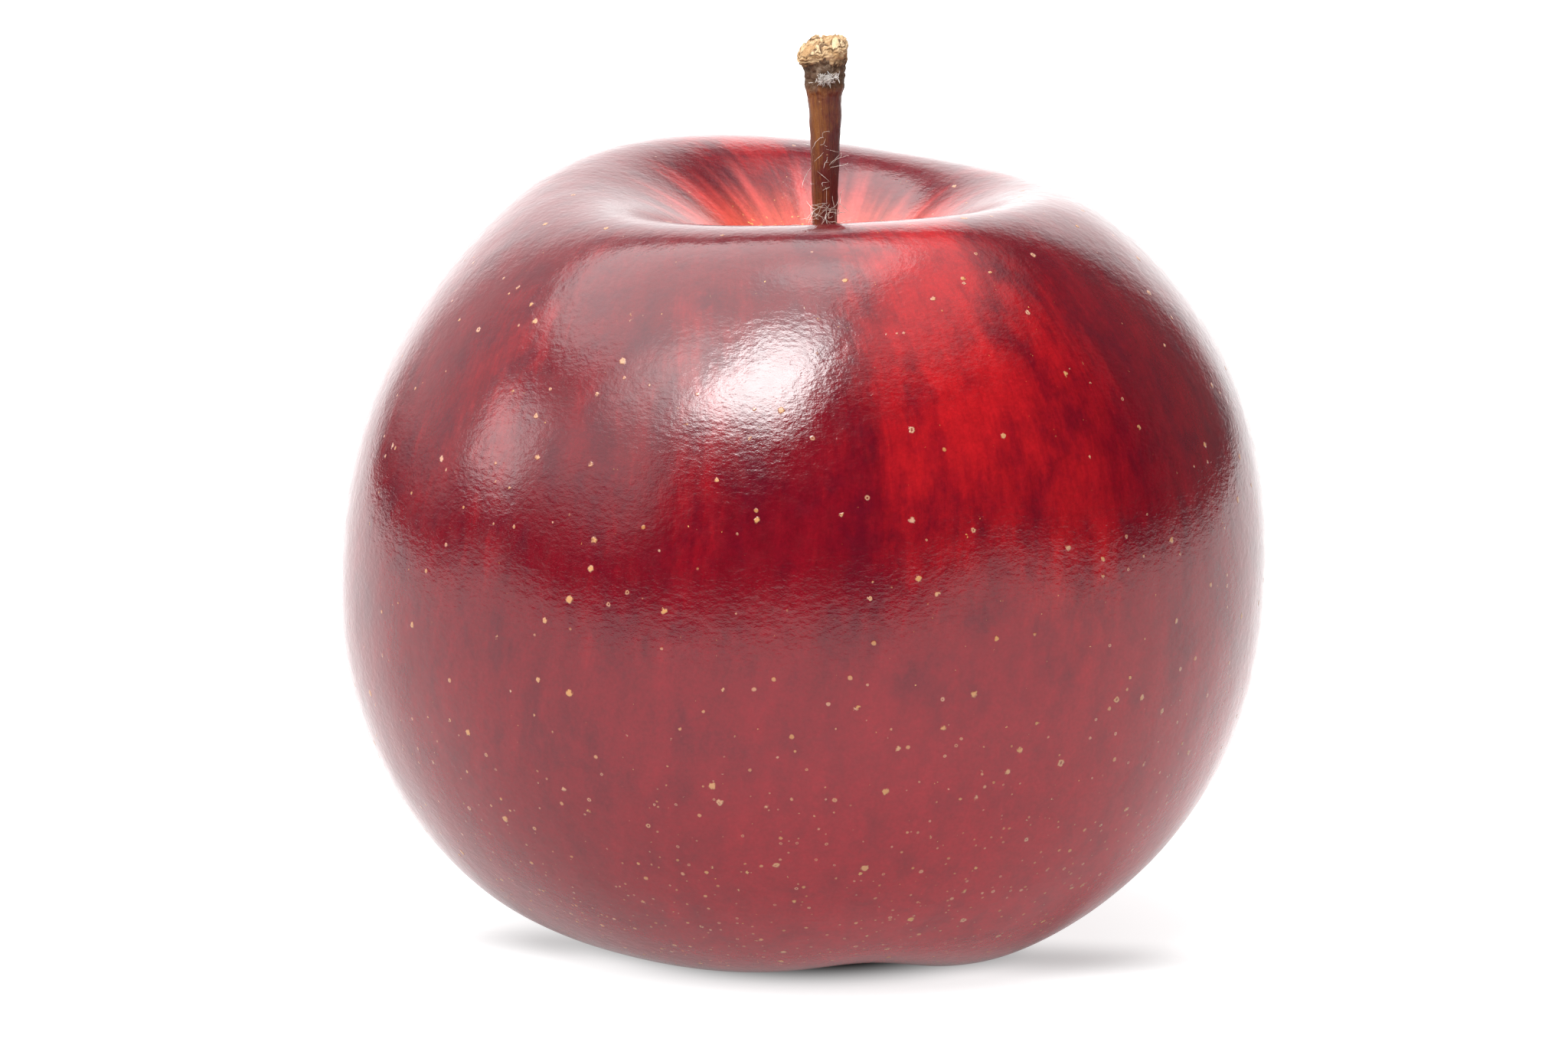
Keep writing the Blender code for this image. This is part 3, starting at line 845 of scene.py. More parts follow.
def make_spots_group():
    """Scattered spots, such as pores: a body, a rim round it, and each spot's own number.
    The spots are balls round scattered points, so the surface slices them to all sizes."""
    tree, given, out = new_group(
        "spots", (("Place", "Vector", None), ("Spacing", "Float", 3.0), ("Radius", "Float", 0.35),
                  ("Share", "Float", 1.0), ("Ragged", "Float", 0.15)),
        (("Body", "Float"), ("Rim", "Float"), ("Number", "Float")))
    shift = add_node(tree, "TexNoise", {"Vector": given["Place"], "Scale": 3.4, "Detail": 2.0})
    wobble = vector_maths(tree, "SUBTRACT", shift.outputs["Color"], (0.5, 0.5, 0.5))
    reach = times(tree, given["Ragged"], 2.0)
    wobble = add_node(tree, "VectorMath", {0: wobble, "Scale": reach}, operation="SCALE").outputs[0]
    moved = vector_maths(tree, "ADD", given["Place"], wobble)
    cells = add_node(tree, "TexVoronoi", {"Vector": moved, "Randomness": 1.0,
                                          "Scale": maths(tree, "DIVIDE", 1.0, given["Spacing"])})
    gap = times(tree, cells.outputs["Distance"], given["Spacing"])
    number = add_node(tree, "SeparateColor", {0: cells.outputs["Color"]}).outputs
    chosen = maths(tree, "LESS_THAN", number["Red"], given["Share"])
    size = maths(tree, "MULTIPLY_ADD", number["Green"], 0.6, 0.5)
    ratio = maths(tree, "DIVIDE", gap, times(tree, given["Radius"], size))
    body = times(tree, ramp(tree, ratio, 1.20, 0.70), chosen)
    core = times(tree, ramp(tree, ratio, 0.55, 0.25), ramp(tree, number["Blue"], 0.35, 0.60))
    tree.links.new(body, out["Body"])
    tree.links.new(times(tree, body, maths(tree, "SUBTRACT", 1.0, core)), out["Rim"])
    tree.links.new(number["Blue"], out["Number"])
    return tree


def make_streaks_group():
    """Streaks that follow the way the piece grew: noise that is fine across and long along.
    Growth runs round a unit circle in its first two numbers and along in its third."""
    tree, given, out = new_group(
        "streaks", (("Growth", "Vector", None), ("Fineness", "Float", 30.0),
                    ("Stretch", "Float", 0.08), ("Detail", "Float", 3.0)),
        (("Value", "Float"),))
    parts = add_node(tree, "SeparateXYZ", {0: given["Growth"]}).outputs
    along = times(tree, parts["Z"], given["Stretch"])
    place = add_node(tree, "CombineXYZ", {"X": parts["X"], "Y": parts["Y"], "Z": along}).outputs[0]
    noise = cloud(tree, place, given["Fineness"], given["Detail"], 0.62)
    tree.links.new(noise, out["Value"])
    return tree


def make_grain_group():
    """Fine grain on a coarser mottle, from -1 to 1 about nothing."""
    tree, given, out = new_group(
        "grain", (("Place", "Vector", None), ("Size", "Float", 0.2)), (("Value", "Float"),))
    fine = maths(tree, "DIVIDE", 0.5, given["Size"])
    first = cloud(tree, given["Place"], fine, 2.0, 0.6)
    second = cloud(tree, given["Place"], times(tree, fine, 0.23), 1.0, 0.5)
    total = plus(tree, first, times(tree, second, 0.6))
    tree.links.new(maths(tree, "MULTIPLY_ADD", total, 2.5, -2.0), out["Value"])
    return tree


def shared_effects():
    makers = {"spots": make_spots_group, "streaks": make_streaks_group,
              "grain": make_grain_group}
    return {name: bpy.data.node_groups.get(name) or make() for name, make in makers.items()}


def streaks(tree, fineness, stretch, detail):
    """Streaks along the growth layer of the piece."""
    return place_group(tree, shared_effects()["streaks"], Growth=layer(tree, "growth", "Vector"),
                       Fineness=fineness, Stretch=stretch, Detail=detail)["Value"]


def grain(tree, place, size):
    """Grain of about this size in millimetres."""
    return place_group(tree, shared_effects()["grain"], Place=place, Size=size)["Value"]


# ------------------------------------------------------------------ materials

PORE_DEPTH = 0.03 * MM
BARK_DEPTH = 0.10 * MM
CORK_DEPTH = 0.14 * MM
DRIED_DEPTH = 0.08 * MM


def new_material(name, **values):
    """A material whose Principled BSDF has the given plain values."""
    material = bpy.data.materials.new(name)
    material.use_nodes = True
    shader = material.node_tree.nodes["Principled BSDF"]
    for key, value in values.items():
        shader.inputs[key.replace("_", " ")].default_value = value
    return material, material.node_tree, shader


def wire(tree, shader, **sockets):
    for key, socket in sockets.items():
        tree.links.new(socket, shader.inputs[key.replace("_", " ")])


def crimson_ground(tree, streak, settings):
    """Deep crimson, with painted light that makes it lighter low down and to the +X side and
    painted shade at the foot, and with streaks that are weaker low down."""
    strength = ramp(tree, layer(tree, "low"), 0.1, 0.7, 0.70, 0.42)
    uneven = times(tree, strength, maths(tree, "SUBTRACT", streak, 0.5))
    # Painted light and shade: the painted light layer lightens the crimson low down and leaves the
    # foot dark.
    tone = plus(tree, layer(tree, "painted_light"), uneven)
    return blend(tree, ramp(tree, tone, -0.15, 0.95), settings.deep_colour,
                 settings.base_colour)


def bowl_tint(tree, colour, fine, hair, mottle, settings):
    """The colour turned paler in the stem bowl, and orange in streaks near the stalk."""
    tone = maths(tree, "MULTIPLY_ADD", mottle, 0.5, fine)
    pale = times(tree, layer(tree, "bowl"), ramp(tree, tone, 0.45, 1.0, 0.65, 0.95))
    colour = blend(tree, pale, colour, settings.bowl_colour)
    flame = times(tree, layer(tree, "russet"), ramp(tree, hair, 0.32, 0.68, 0.30, 0.75))
    return blend(tree, flame, colour, settings.flame_colour)


def skin_colour(tree, place, settings):
    """Crimson streaked with bright red on the lit cheeks, with darker mottles, pale in the
    stem bowl, with russet flecks round the stalk. Returns the colour and the russet."""
    broad = streaks(tree, 7.0, 0.22, 2.0)
    fine = streaks(tree, 26.0, 0.16, 4.0)
    hair = streaks(tree, 95.0, 0.20, 2.0)
    mottle = cloud(tree, scaled(tree, place, (1.0, 1.0, 0.55)), 0.34, 4.0, 0.62)
    streak = maths(tree, "MULTIPLY_ADD", broad, 0.45, times(tree, fine, 0.55))
    uneven = maths(tree, "MULTIPLY_ADD", hair, 0.35, times(tree, mottle, -0.6))
    uneven = maths(tree, "MULTIPLY_ADD", streak, 0.8, uneven)
    cheek = ramp(tree, maths(tree, "MULTIPLY_ADD", layer(tree, "blush"), 0.85, uneven), 0.33, 1.18)
    ground = crimson_ground(tree, streak, settings)
    colour = blend(tree, cheek, ground, settings.bright_colour)
    dark = times(tree, ramp(tree, mottle, 0.44, 0.70, 0.0, 0.55),
                 ramp(tree, layer(tree, "low"), 0.1, 0.8, 1.0, 0.45))
    dark = times(tree, dark, ramp(tree, layer(tree, "blush"), 0.2, 1.0, 1.0, 0.35))
    colour = blend(tree, dark, colour, settings.shadow_colour)
    colour = bowl_tint(tree, colour, fine, hair, mottle, settings)
    specks = grey(tree, maths(tree, "MULTIPLY_ADD", grain(tree, place, 0.15), 0.20, 1.0))
    colour = blend(tree, 1.0, colour, specks, "MULTIPLY")
    near_stalk = times(tree, layer(tree, "russet"), 0.34)
    flecks = plus(tree, cloud(tree, place, 1.5, 3.0, 0.65), near_stalk)
    russet = ramp(tree, flecks, 0.72, 0.82)
    return blend(tree, russet, colour, settings.russet_colour), russet


# Fields of pores: shift of the pattern, spacing as a share of the widest, radius and
# raggedness in millimetres, share that shows at the top and at the base, and strength
PORE_FIELDS = (((0.0, 0.0, 0.0), 1.0, 0.28, 0.20, (0.60, 1.0), 0.92),
               ((31.0, 17.0, 53.0), 0.6, 0.19, 0.08, (0.15, 1.0), 0.70),
               ((71.0, 29.0, 11.0), 0.3, 0.14, 0.06, (-1.10, 0.90), 0.50))


def skin_pores(tree, place, colour, settings):
    """Pores: sparse tan ones, some with a darker middle, small pale ones, and a dense field
    of specks near the base. Returns the colour, their relief, and the bodies of the largest."""
    low = layer(tree, "low")
    fields = []
    for shift, spread, radius, ragged, ends, strength in PORE_FIELDS:
        spots = place_group(tree, shared_effects()["spots"], Radius=radius, Ragged=ragged,
                            Place=vector_maths(tree, "ADD", place, shift),
                            Spacing=spread * settings.pore_spacing,
                            Share=ramp(tree, low, 0.0, 1.0, *ends, "LINEAR"))
        fields.append((spots, strength))
    large = fields[0][0]
    colour = blend(tree, times(tree, large["Body"], 0.6), colour, settings.pore_core_colour)
    relief = large["Rim"]
    for spots, strength in fields:
        tint = blend(tree, spots["Number"], settings.pore_colour, settings.pore_pale_colour)
        colour = blend(tree, times(tree, spots["Rim"], strength), colour, tint)
        relief = maths(tree, "MAXIMUM", relief, times(tree, spots["Body"], 0.5))
    return colour, relief, large["Body"]


def skin_material(settings):
    """Waxed skin: glossy with faint dull clouds, a fine crinkle, and duller pores."""
    material, tree, shader = new_material("apple_skin", Specular_IOR_Level=0.5, IOR=1.47)
    place = millimetres(tree)
    colour, russet = skin_colour(tree, place, settings)
    colour, pores, body = skin_pores(tree, place, colour, settings)
    dull = maths(tree, "MAXIMUM", times(tree, russet, 0.30), times(tree, body, 0.25))
    wax = ramp(tree, cloud(tree, place, 0.8, 3.0, 0.6), 0.3, 0.75, 0.0, 0.07)
    roughness = plus(tree, plus(tree, dull, wax), settings.gloss_roughness)
    crinkle = cloud(tree, scaled(tree, place, (1.0, 1.0, 1.6)), 1.5, 3.0, 0.62)
    crinkle = plus(tree, crinkle, times(tree, cloud(tree, place, 0.50, 1.0, 0.5), 0.8))
    normal = bump(tree, crinkle, settings.peel_depth)
    normal = bump(tree, pores, PORE_DEPTH, normal)
    wire(tree, shader, Base_Color=colour, Roughness=roughness, Normal=normal)
    return material


def wood_colour(tree, fibre, thread, patch, settings):
    """Brown and amber fibres, red-brown down the -X side, with dark threads, turning
    red-purple towards the foot on the +X side."""
    rise = layer(tree, "rise")
    side = add_node(tree, "SeparateXYZ", {0: layer(tree, "growth", "Vector")}).outputs["X"]
    wood = maths(tree, "MULTIPLY_ADD", rise, 0.22, fibre)
    colour = blend(tree, ramp(tree, wood, 0.46, 0.74), settings.bark_colour,
                   settings.amber_colour)
    left = maths(tree, "MAXIMUM", times(tree, side, -1.0), 0.0)
    edge = maths(tree, "MULTIPLY_ADD", left, 0.55, fibre)
    colour = blend(tree, ramp(tree, edge, 0.56, 0.90, 0.0, 0.9), colour, settings.rust_colour)
    colour = blend(tree, ramp(tree, thread, 0.50, 0.36, 0.0, 0.6), colour, settings.foot_colour)
    redness = maths(tree, "MULTIPLY_ADD", side, 0.34, patch)
    redness = maths(tree, "MULTIPLY_ADD", rise, -0.75, redness)
    return blend(tree, ramp(tree, redness, -0.06, 0.34), colour, settings.foot_colour)


def bark_material(settings):
    """Wood under thin bark: grey and charred under the knob, with pale scuffs along the
    fibres and a few pale pores."""
    material, tree, shader = new_material("stalk_bark", Specular_IOR_Level=0.4)
    place = millimetres(tree)
    fibre = streaks(tree, 5.0, 1.6, 4.0)
    thread = streaks(tree, 17.0, 1.2, 3.0)
    patch = cloud(tree, place, 0.55, 3.0, 0.6)
    colour = wood_colour(tree, fibre, thread, patch, settings)
    charred = maths(tree, "MULTIPLY_ADD", patch, 0.7, layer(tree, "charred"))
    colour = blend(tree, ramp(tree, charred, 0.85, 1.20), colour, settings.charred_colour)
    ash = times(tree, ramp(tree, cloud(tree, place, 1.5, 4.0, 0.7), 0.50, 0.66, 0.0, 0.42),
                ramp(tree, charred, 0.95, 1.25))
    colour = blend(tree, ash, colour, settings.ash_colour)
    scuff = ramp(tree, thread, 0.66, 0.76, 0.0, 0.55)
    colour = blend(tree, scuff, colour, settings.ash_colour)
    pores = place_group(tree, shared_effects()["spots"], Place=place, Spacing=0.62,
                        Radius=0.065, Share=0.6, Ragged=0.08)
    colour = blend(tree, times(tree, pores["Body"], 0.6), colour, settings.cork_colour)
    relief = plus(tree, plus(tree, fibre, thread), times(tree, grain(tree, place, 0.06), 0.18))
    roughness = plus(tree, ramp(tree, charred, 0.8, 1.2, 0.38, 0.80), times(tree, scuff, 0.3))
    wire(tree, shader, Base_Color=colour, Roughness=roughness,
         Normal=bump(tree, relief, BARK_DEPTH))
    return material


def cork_material(settings):
    """Torn cork: tan to cream splinters, brown in the cracks, and brown towards the foot of its
    wall as painted shade.
    """
    material, tree, shader = new_material("torn_cork", Specular_IOR_Level=0.25)
    place = millimetres(tree)
    grit = grain(tree, place, 0.09)
    patch = cloud(tree, scaled(tree, place, (1.0, 1.0, 1.8)), 1.3, 5.0, 0.7)
    tone = maths(tree, "MULTIPLY_ADD", layer(tree, "plate"), 0.35, patch)
    colour = blend(tree, ramp(tree, tone, 0.50, 0.95), settings.cork_colour,
                   settings.cream_colour)
    # The crack layer holds the face's cracks and the painted shade down the wall.
    deep = maths(tree, "MULTIPLY_ADD", patch, -1.1, layer(tree, "crack"))
    colour = blend(tree, ramp(tree, deep, -0.20, 0.40, 0.0, 0.95), colour,
                   settings.crack_and_painted_shade_colour)
    dust = grey(tree, maths(tree, "MULTIPLY_ADD", grit, 0.22, 0.95))
    colour = blend(tree, 1.0, colour, dust, "MULTIPLY")
    relief = plus(tree, patch, times(tree, grit, 0.25))
    wire(tree, shader, Base_Color=colour, Roughness=ramp(tree, patch, 0.3, 0.7, 0.75, 0.92),
         Normal=bump(tree, relief, CORK_DEPTH))
    return material


def down_material(settings):
    """Dry white down, a little uneven."""
    material, tree, shader = new_material("dry_down", Roughness=0.75, Specular_IOR_Level=0.3)
    uneven = ramp(tree, grain(tree, millimetres(tree), 0.25), -1.0, 1.0)
    wire(tree, shader, Base_Color=blend(tree, uneven, settings.down_shade, settings.down_colour))
    return material


def dried_material(name, dark, pale, dust_colour):
    """Withered leaf or thread: brown with paler veins, dust and a rough face."""
    material, tree, shader = new_material(name, Specular_IOR_Level=0.25)
    place = millimetres(tree)
    vein = cloud(tree, scaled(tree, place, (1.0, 1.0, 0.22)), 2.4, 4.0, 0.6)
    relief = maths(tree, "MULTIPLY_ADD", grain(tree, place, 0.12), 0.2, vein)
    colour = blend(tree, ramp(tree, vein, 0.38, 0.66), dark, pale)
    colour = blend(tree, ramp(tree, relief, 0.62, 0.85, 0.0, 0.5), colour, dust_colour)
    wire(tree, shader, Base_Color=colour, Roughness=ramp(tree, vein, 0.3, 0.7, 0.95, 0.75),
         Normal=bump(tree, relief, DRIED_DEPTH))
    return material


# ------------------------------------------------------------------ the studio

OVERHEAD = (-0.275, 0.10, 0.956)         # middle of the wide source overhead
OVERHEAD_EDGE = (0.80, 0.86)             # cosines where it begins and is full
FLOOR_ROWS = 11
FLOOR_COLUMNS = 13
FLOOR_HALF_WIDTH = 3.0
FLOOR_BACK = 4.0
FLOOR_HEIGHT = -0.02 * MM

# The painted shadow: a dark oval in the table's light under the apple, in millimetres from the
# table's middle
PAINTED_SHADOW_MIDDLE = (0.5, -7.0)
PAINTED_SHADOW_HALF_WIDTH = 14.0
PAINTED_SHADOW_HALF_DEPTH = 11.5
PAINTED_SHADOW_EDGE = (0.62, 1.45)                 # where the dark begins and ends to fade, in half widths
SHADOW_SLOPE = 0.13                      # of the weak shadow's line from side to side
SHADOW_OFFSET = 2.5


def studio_material(settings):
    """Matt white paper that gives off light of its own, as painted light. It dies away in an oval
    under the apple, a painted shadow, and a weak painted shadow runs out on either side of it. Near
    the apple, what the skin mirrors of the paper is dimmer still, a painted shade in the
    reflection."""
    material, tree, shader = new_material("white_paper_painted_shadow", Roughness=0.9, Specular_IOR_Level=0.1)
    place = millimetres(tree)
    fibre = cloud(tree, place, 0.8, 3.0, 0.6)
    tone = grey(tree, ramp(tree, fibre, 0.3, 0.7, 0.97, 1.0))
    # Painted shadow: the table's light fades to nothing in an oval under the apple.
    centred = vector_maths(tree, "SUBTRACT", place, (*PAINTED_SHADOW_MIDDLE, 0.0))
    painted_shadow_oval = scaled(tree, centred, (1.0 / PAINTED_SHADOW_HALF_WIDTH, 1.0 / PAINTED_SHADOW_HALF_DEPTH, 0.0))
    far = add_node(tree, "VectorMath", {0: painted_shadow_oval}, operation="LENGTH").outputs["Value"]
    painted_light = ramp(tree, far, *PAINTED_SHADOW_EDGE, 0.0, settings.painted_table_light)
    # A weak painted shadow runs out along a line on either side.
    parts = add_node(tree, "SeparateXYZ", {0: centred}).outputs
    line = maths(tree, "MULTIPLY_ADD", parts["X"], SHADOW_SLOPE, parts["Y"])
    from_line = maths(tree, "ABSOLUTE", plus(tree, line, SHADOW_OFFSET))
    across = ramp(tree, from_line, 8.0, 0.0)
    reach = ramp(tree, maths(tree, "ABSOLUTE", parts["X"]), 52.0, 16.0)
    painted_shade = maths(tree, "MULTIPLY_ADD", times(tree, across, reach), -0.42, 1.0)
    # Painted shade in reflections: near the apple, glossy rays see the table up to 0.40 dimmer.
    painted_reflection_shade = times(tree, add_node(tree, "LightPath").outputs["Is Glossy Ray"],
                     ramp(tree, far, 6.0, 1.5, 0.0, -0.40))
    painted_shade = times(tree, painted_shade, plus(tree, painted_reflection_shade, 1.0))
    wire(tree, shader, Base_Color=blend(tree, 1.0, settings.floor_colour, tone, "MULTIPLY"),
         Emission_Color=grey(tree, times(tree, painted_light, painted_shade)))
    shader.inputs["Emission Strength"].default_value = 1.0
    return material


def build_floor(settings):
    """A flat sheet just under z = 0 that ends in front of the apple and runs far behind."""
    across = np.linspace(-FLOOR_HALF_WIDTH, FLOOR_HALF_WIDTH, FLOOR_COLUMNS)[None, :]
    along = np.linspace(-settings.floor_front, FLOOR_BACK, FLOOR_ROWS)[:, None]
    points = stack(across, along, FLOOR_HEIGHT)
    first = np.arange(FLOOR_ROWS - 1)[:, None] * FLOOR_COLUMNS + np.arange(FLOOR_COLUMNS - 1)
    above = first + FLOOR_COLUMNS
    squares = np.stack([first, first + 1, above + 1, above], axis=-1).reshape(-1, 4)
    floor = mesh_object("studio_floor", points, squares)
    floor.data.materials.append(studio_material(settings))


def make_window_group():
    """A soft-edged window of light: 1 inside its half width and half height in degrees
    about its middle, falling off over its softness. Slant moves it round as it rises."""
    tree, given, out = new_group(
        "light_window", (("Turn", "Float", 0.0), ("Rise", "Float", 0.0),
                         ("Middle Turn", "Float", 0.0), ("Middle Rise", "Float", 45.0),
                         ("Half Width", "Float", 20.0), ("Half Height", "Float", 15.0),
                         ("Softness", "Float", 5.0), ("Slant", "Float", 0.0)),
        (("Value", "Float"),))
    rise = maths(tree, "SUBTRACT", given["Rise"], given["Middle Rise"])
    turn = maths(tree, "SUBTRACT", given["Turn"], given["Middle Turn"])
    turn = maths(tree, "SUBTRACT", turn, times(tree, rise, given["Slant"]))
    turn = maths(tree, "WRAP", turn, 180.0, -180.0)
    shares = []
    for value, half in ((turn, "Half Width"), (rise, "Half Height")):
        outer = plus(tree, given[half], given["Softness"])
        inner = maths(tree, "SUBTRACT", given[half], given["Softness"])
        shares.append(ramp(tree, maths(tree, "ABSOLUTE", value), outer, inner))
    tree.links.new(times(tree, *shares), out["Value"])
    return tree


# The studio's windows and cards of light: middle turn and rise, half width and half height,
# softness in degrees, slant, and brightness
WINDOWS = {
    "key": (-17.0, 51.5, 18.0, 12.0, 6.0, 0.8, 27.0),
    "key_falloff": (-38.0, 51.0, 30.0, 13.0, 13.0, 0.4, 8.0),
    "left_box": (-91.0, 22.0, 11.0, 8.0, 4.0, 0.0, 5.5),
    "left_glow": (-66.0, 26.0, 27.0, 10.0, 9.0, 0.0, 2.3),
    "left_wall": (-130.0, 24.0, 30.0, 17.0, 7.0, 0.0, 1.1),
    "right_wall": (122.0, 22.0, 22.0, 22.0, 8.0, 0.0, 0.20),
    "backdrop": (180.0, 11.0, 34.0, 27.0, 9.0, 0.0, 2.05),
}


EDGE_HEIGHT = -2.0                       # of the table's far edge, in degrees
# Humps and dips in that edge: middle turn, half width and height in degrees
EDGE_WAVES = ((48.0, 34.0, 7.0), (118.0, 20.0, -8.0), (-82.0, 26.0, 5.5), (-124.0, 14.0, -5.0))


def table_edge(tree, turn):
    """Height in degrees of the far edge of the white table, in each direction."""
    edge = EDGE_HEIGHT
    for middle, half_width, height in EDGE_WAVES:
        gap = maths(tree, "ABSOLUTE", maths(tree, "SUBTRACT", turn, middle))
        edge = plus(tree, edge, ramp(tree, gap, half_width, 0.0, 0.0, height))
    return edge


def build_world(settings):
    """The light: the white table, a wide soft source overhead, and the windows and cards
    round the apple. The front is dark, as it is round a camera, which sees only white."""
    world = bpy.data.worlds.new("studio_light")
    world.use_nodes = True
    bpy.context.scene.world = world
    tree = world.node_tree
    tree.nodes.clear()
    seen = add_node(tree, "TexCoord").outputs["Generated"]
    parts = add_node(tree, "SeparateXYZ", {0: seen}).outputs
    turn = maths(tree, "ARCTAN2", parts["X"], times(tree, parts["Y"], -1.0))
    turn = times(tree, turn, math.degrees(1.0))
    rise = times(tree, maths(tree, "ARCSINE", parts["Z"]), math.degrees(1.0))
    overhead = add_node(tree, "VectorMath", {0: seen, 1: OVERHEAD}, operation="DOT_PRODUCT")
    overhead = ramp(tree, overhead.outputs["Value"], *OVERHEAD_EDGE)
    below = maths(tree, "SUBTRACT", table_edge(tree, turn), rise)
    levels = [(overhead, settings.overhead_light),
              (ramp(tree, rise, 66.0, 86.0), 1.6 * settings.overhead_light),
              (ramp(tree, rise, 42.0, 62.0), 0.4 * settings.overhead_light),
              (ramp(tree, below, -0.8, 0.8), settings.table_light)]
    group = make_window_group()
    names = ("Middle_Turn", "Middle_Rise", "Half_Width", "Half_Height", "Softness", "Slant")
    for window in WINDOWS.values():
        mask = place_group(tree, group, Turn=turn, Rise=rise, **dict(zip(names, window)))
        levels.append((mask["Value"], window[-1] * settings.window_light))
    total = settings.front_light
    for mask, level in levels:
        total = maths(tree, "MAXIMUM", total, times(tree, mask, level))
    light = add_node(tree, "Background", {"Color": (1.0, 1.0, 1.0, 1.0), "Strength": total})
    white = add_node(tree, "Background", {"Color": (1.0, 1.0, 1.0, 1.0), "Strength": 1.0})
    by_camera = add_node(tree, "LightPath").outputs["Is Camera Ray"]
    mixed = add_node(tree, "MixShader", {0: by_camera, 1: light.outputs[0], 2: white.outputs[0]})
    output = add_node(tree, "OutputWorld")
    tree.links.new(mixed.outputs[0], output.inputs["Surface"])


CAMERA_AIM = (-0.041, 0.105)             # to +X of the heart and above it, in radii


def place_camera(settings):
    """Looks at the apple from in front and a little above, aimed just above and to the left
    of its heart."""
    data = bpy.data.cameras.new("studio_camera")
    data.lens = settings.lens
    data.sensor_width = 36.0
    data.clip_start = 0.01
    camera = bpy.data.objects.new("studio_camera", data)
    bpy.context.scene.collection.objects.link(camera)
    lift = settings.camera_height
    away = Vector((0.0, -math.cos(lift), math.sin(lift)))
    heart = Vector((0.0, 0.0, HEART_HEIGHT))
    camera.location = heart + away * settings.camera_distance
    up = Vector((0.0, math.sin(lift), math.cos(lift)))
    beside = Vector((CAMERA_AIM[0] * FRUIT_RADIUS, 0.0, 0.0))
    aim = heart + up * (CAMERA_AIM[1] * FRUIT_RADIUS) + beside
    camera.rotation_mode = "QUATERNION"
    camera.rotation_quaternion = (aim - camera.location).to_track_quat("-Z", "Y")
    bpy.context.scene.camera = camera


# ------------------------------------------------------------------ settings

def colour_setting(name, description, red, green, blue):
    return FloatVectorProperty(name=name, description=description, subtype="COLOR", size=3,
                               min=0.0, max=1.0, default=(red, green, blue))


class AppleSkinSettings(bpy.types.PropertyGroup):
    deep_colour: colour_setting("Deep skin", "Skin away from the bright cheeks",
                                0.080, 0.0013, 0.0052)
    bright_colour: colour_setting("Bright skin", "Streaks on the bright cheeks",
                                  0.280, 0.0055, 0.0080)
    # Lighter red: the colour of the lighter streaks, and where the painted light lightens the lower
    # half.
    base_colour: colour_setting("Base", "Skin of the lower half", 0.235, 0.0040, 0.0110)
    shadow_colour: colour_setting("Dark mottle", "Purple-brown mottles", 0.048, 0.0015, 0.0070)
    bowl_colour: colour_setting("Stem bowl", "Paler skin in the stem bowl",
                                0.520, 0.0560, 0.0520)
    flame_colour: colour_setting("Bowl streaks", "Orange streaks low in the stem bowl",
                                 0.640, 0.1500, 0.0500)
    russet_colour: colour_setting("Russet", "Russet round the stalk", 0.560, 0.3400, 0.0900)
    pore_colour: colour_setting("Pore", "Tan pores", 0.370, 0.1750, 0.0560)
    pore_pale_colour: colour_setting("Pale pore", "Pale pores", 0.390, 0.2100, 0.1350)
    pore_core_colour: colour_setting("Pore middle", "Middle of the tan pores",
                                     0.110, 0.0280, 0.0100)
    pore_spacing: FloatProperty(name="Pore spacing", default=2.5, min=0.5, max=20.0,
                                description="Distance between the tan pores, in millimetres")
    gloss_roughness: FloatProperty(name="Roughness", default=0.12, min=0.0, max=1.0,
                                   subtype="FACTOR", description="Roughness of the waxy skin")
    peel_depth: FloatProperty(name="Peel depth", default=0.032 * MM, min=0.0, max=MM, precision=6,
                              unit="LENGTH", description="Depth of the skin's fine crinkle")


class AppleStalkSettings(bpy.types.PropertyGroup):
    bark_colour: colour_setting("Bark", "Brown bark", 0.078, 0.0190, 0.0050)
    amber_colour: colour_setting("Amber", "Olive and amber wood", 0.190, 0.0660, 0.0110)
    rust_colour: colour_setting("Rust", "Red-brown side of the stalk", 0.130, 0.0280, 0.0080)
    foot_colour: colour_setting("Foot", "Red-purple skin near the foot", 0.082, 0.0090, 0.0075)
    charred_colour: colour_setting("Charred", "Dark bark under the knob", 0.080, 0.0400, 0.0190)
    ash_colour: colour_setting("Ash", "Grey scuffs and patches", 0.300, 0.2300, 0.1700)
    cork_colour: colour_setting("Cork", "Torn cork", 0.300, 0.1750, 0.0800)
    cream_colour: colour_setting("Cream", "Palest splinters of the cork", 0.620, 0.4500, 0.2700)
    # Also the colour of the painted shade down the cork's wall.
    crack_and_painted_shade_colour: colour_setting("Cracks", "Brown in the cracks of the cork",
                                 0.100, 0.0520, 0.0260)
    down_colour: colour_setting("Down", "White down", 0.620, 0.6000, 0.5700)
    down_shade: colour_setting("Dusty down", "Greyer down", 0.360, 0.3200, 0.2800)
    ridges: IntProperty(name="Ridges", default=6, min=0, max=20,
                        description="Ridges round the stalk")
    hairs: IntProperty(name="Hairs", default=130, min=1, max=1000,
                       description="Loose hairs round the stalk")
    tuft_hairs: IntProperty(name="Tuft hairs", default=190, min=1, max=1000,
                            description="Hairs in the tuft under the knob")


class AppleFlowerSettings(bpy.types.PropertyGroup):
    sepal_colour: colour_setting("Sepal", "Dried sepals", 0.130, 0.0800, 0.0380)
    sepal_pale: colour_setting("Sepal veins", "Paler veins of the sepals",
                               0.300, 0.2100, 0.1150)
    thread_colour: colour_setting("Thread", "Dried stamens and styles", 0.055, 0.0300, 0.0140)
    thread_pale: colour_setting("Thread tips", "Paler parts of the threads",
                                0.190, 0.1150, 0.0520)
    down: IntProperty(name="Down", default=240, min=1, max=2000,
                      description="Short hairs on the dried flower")


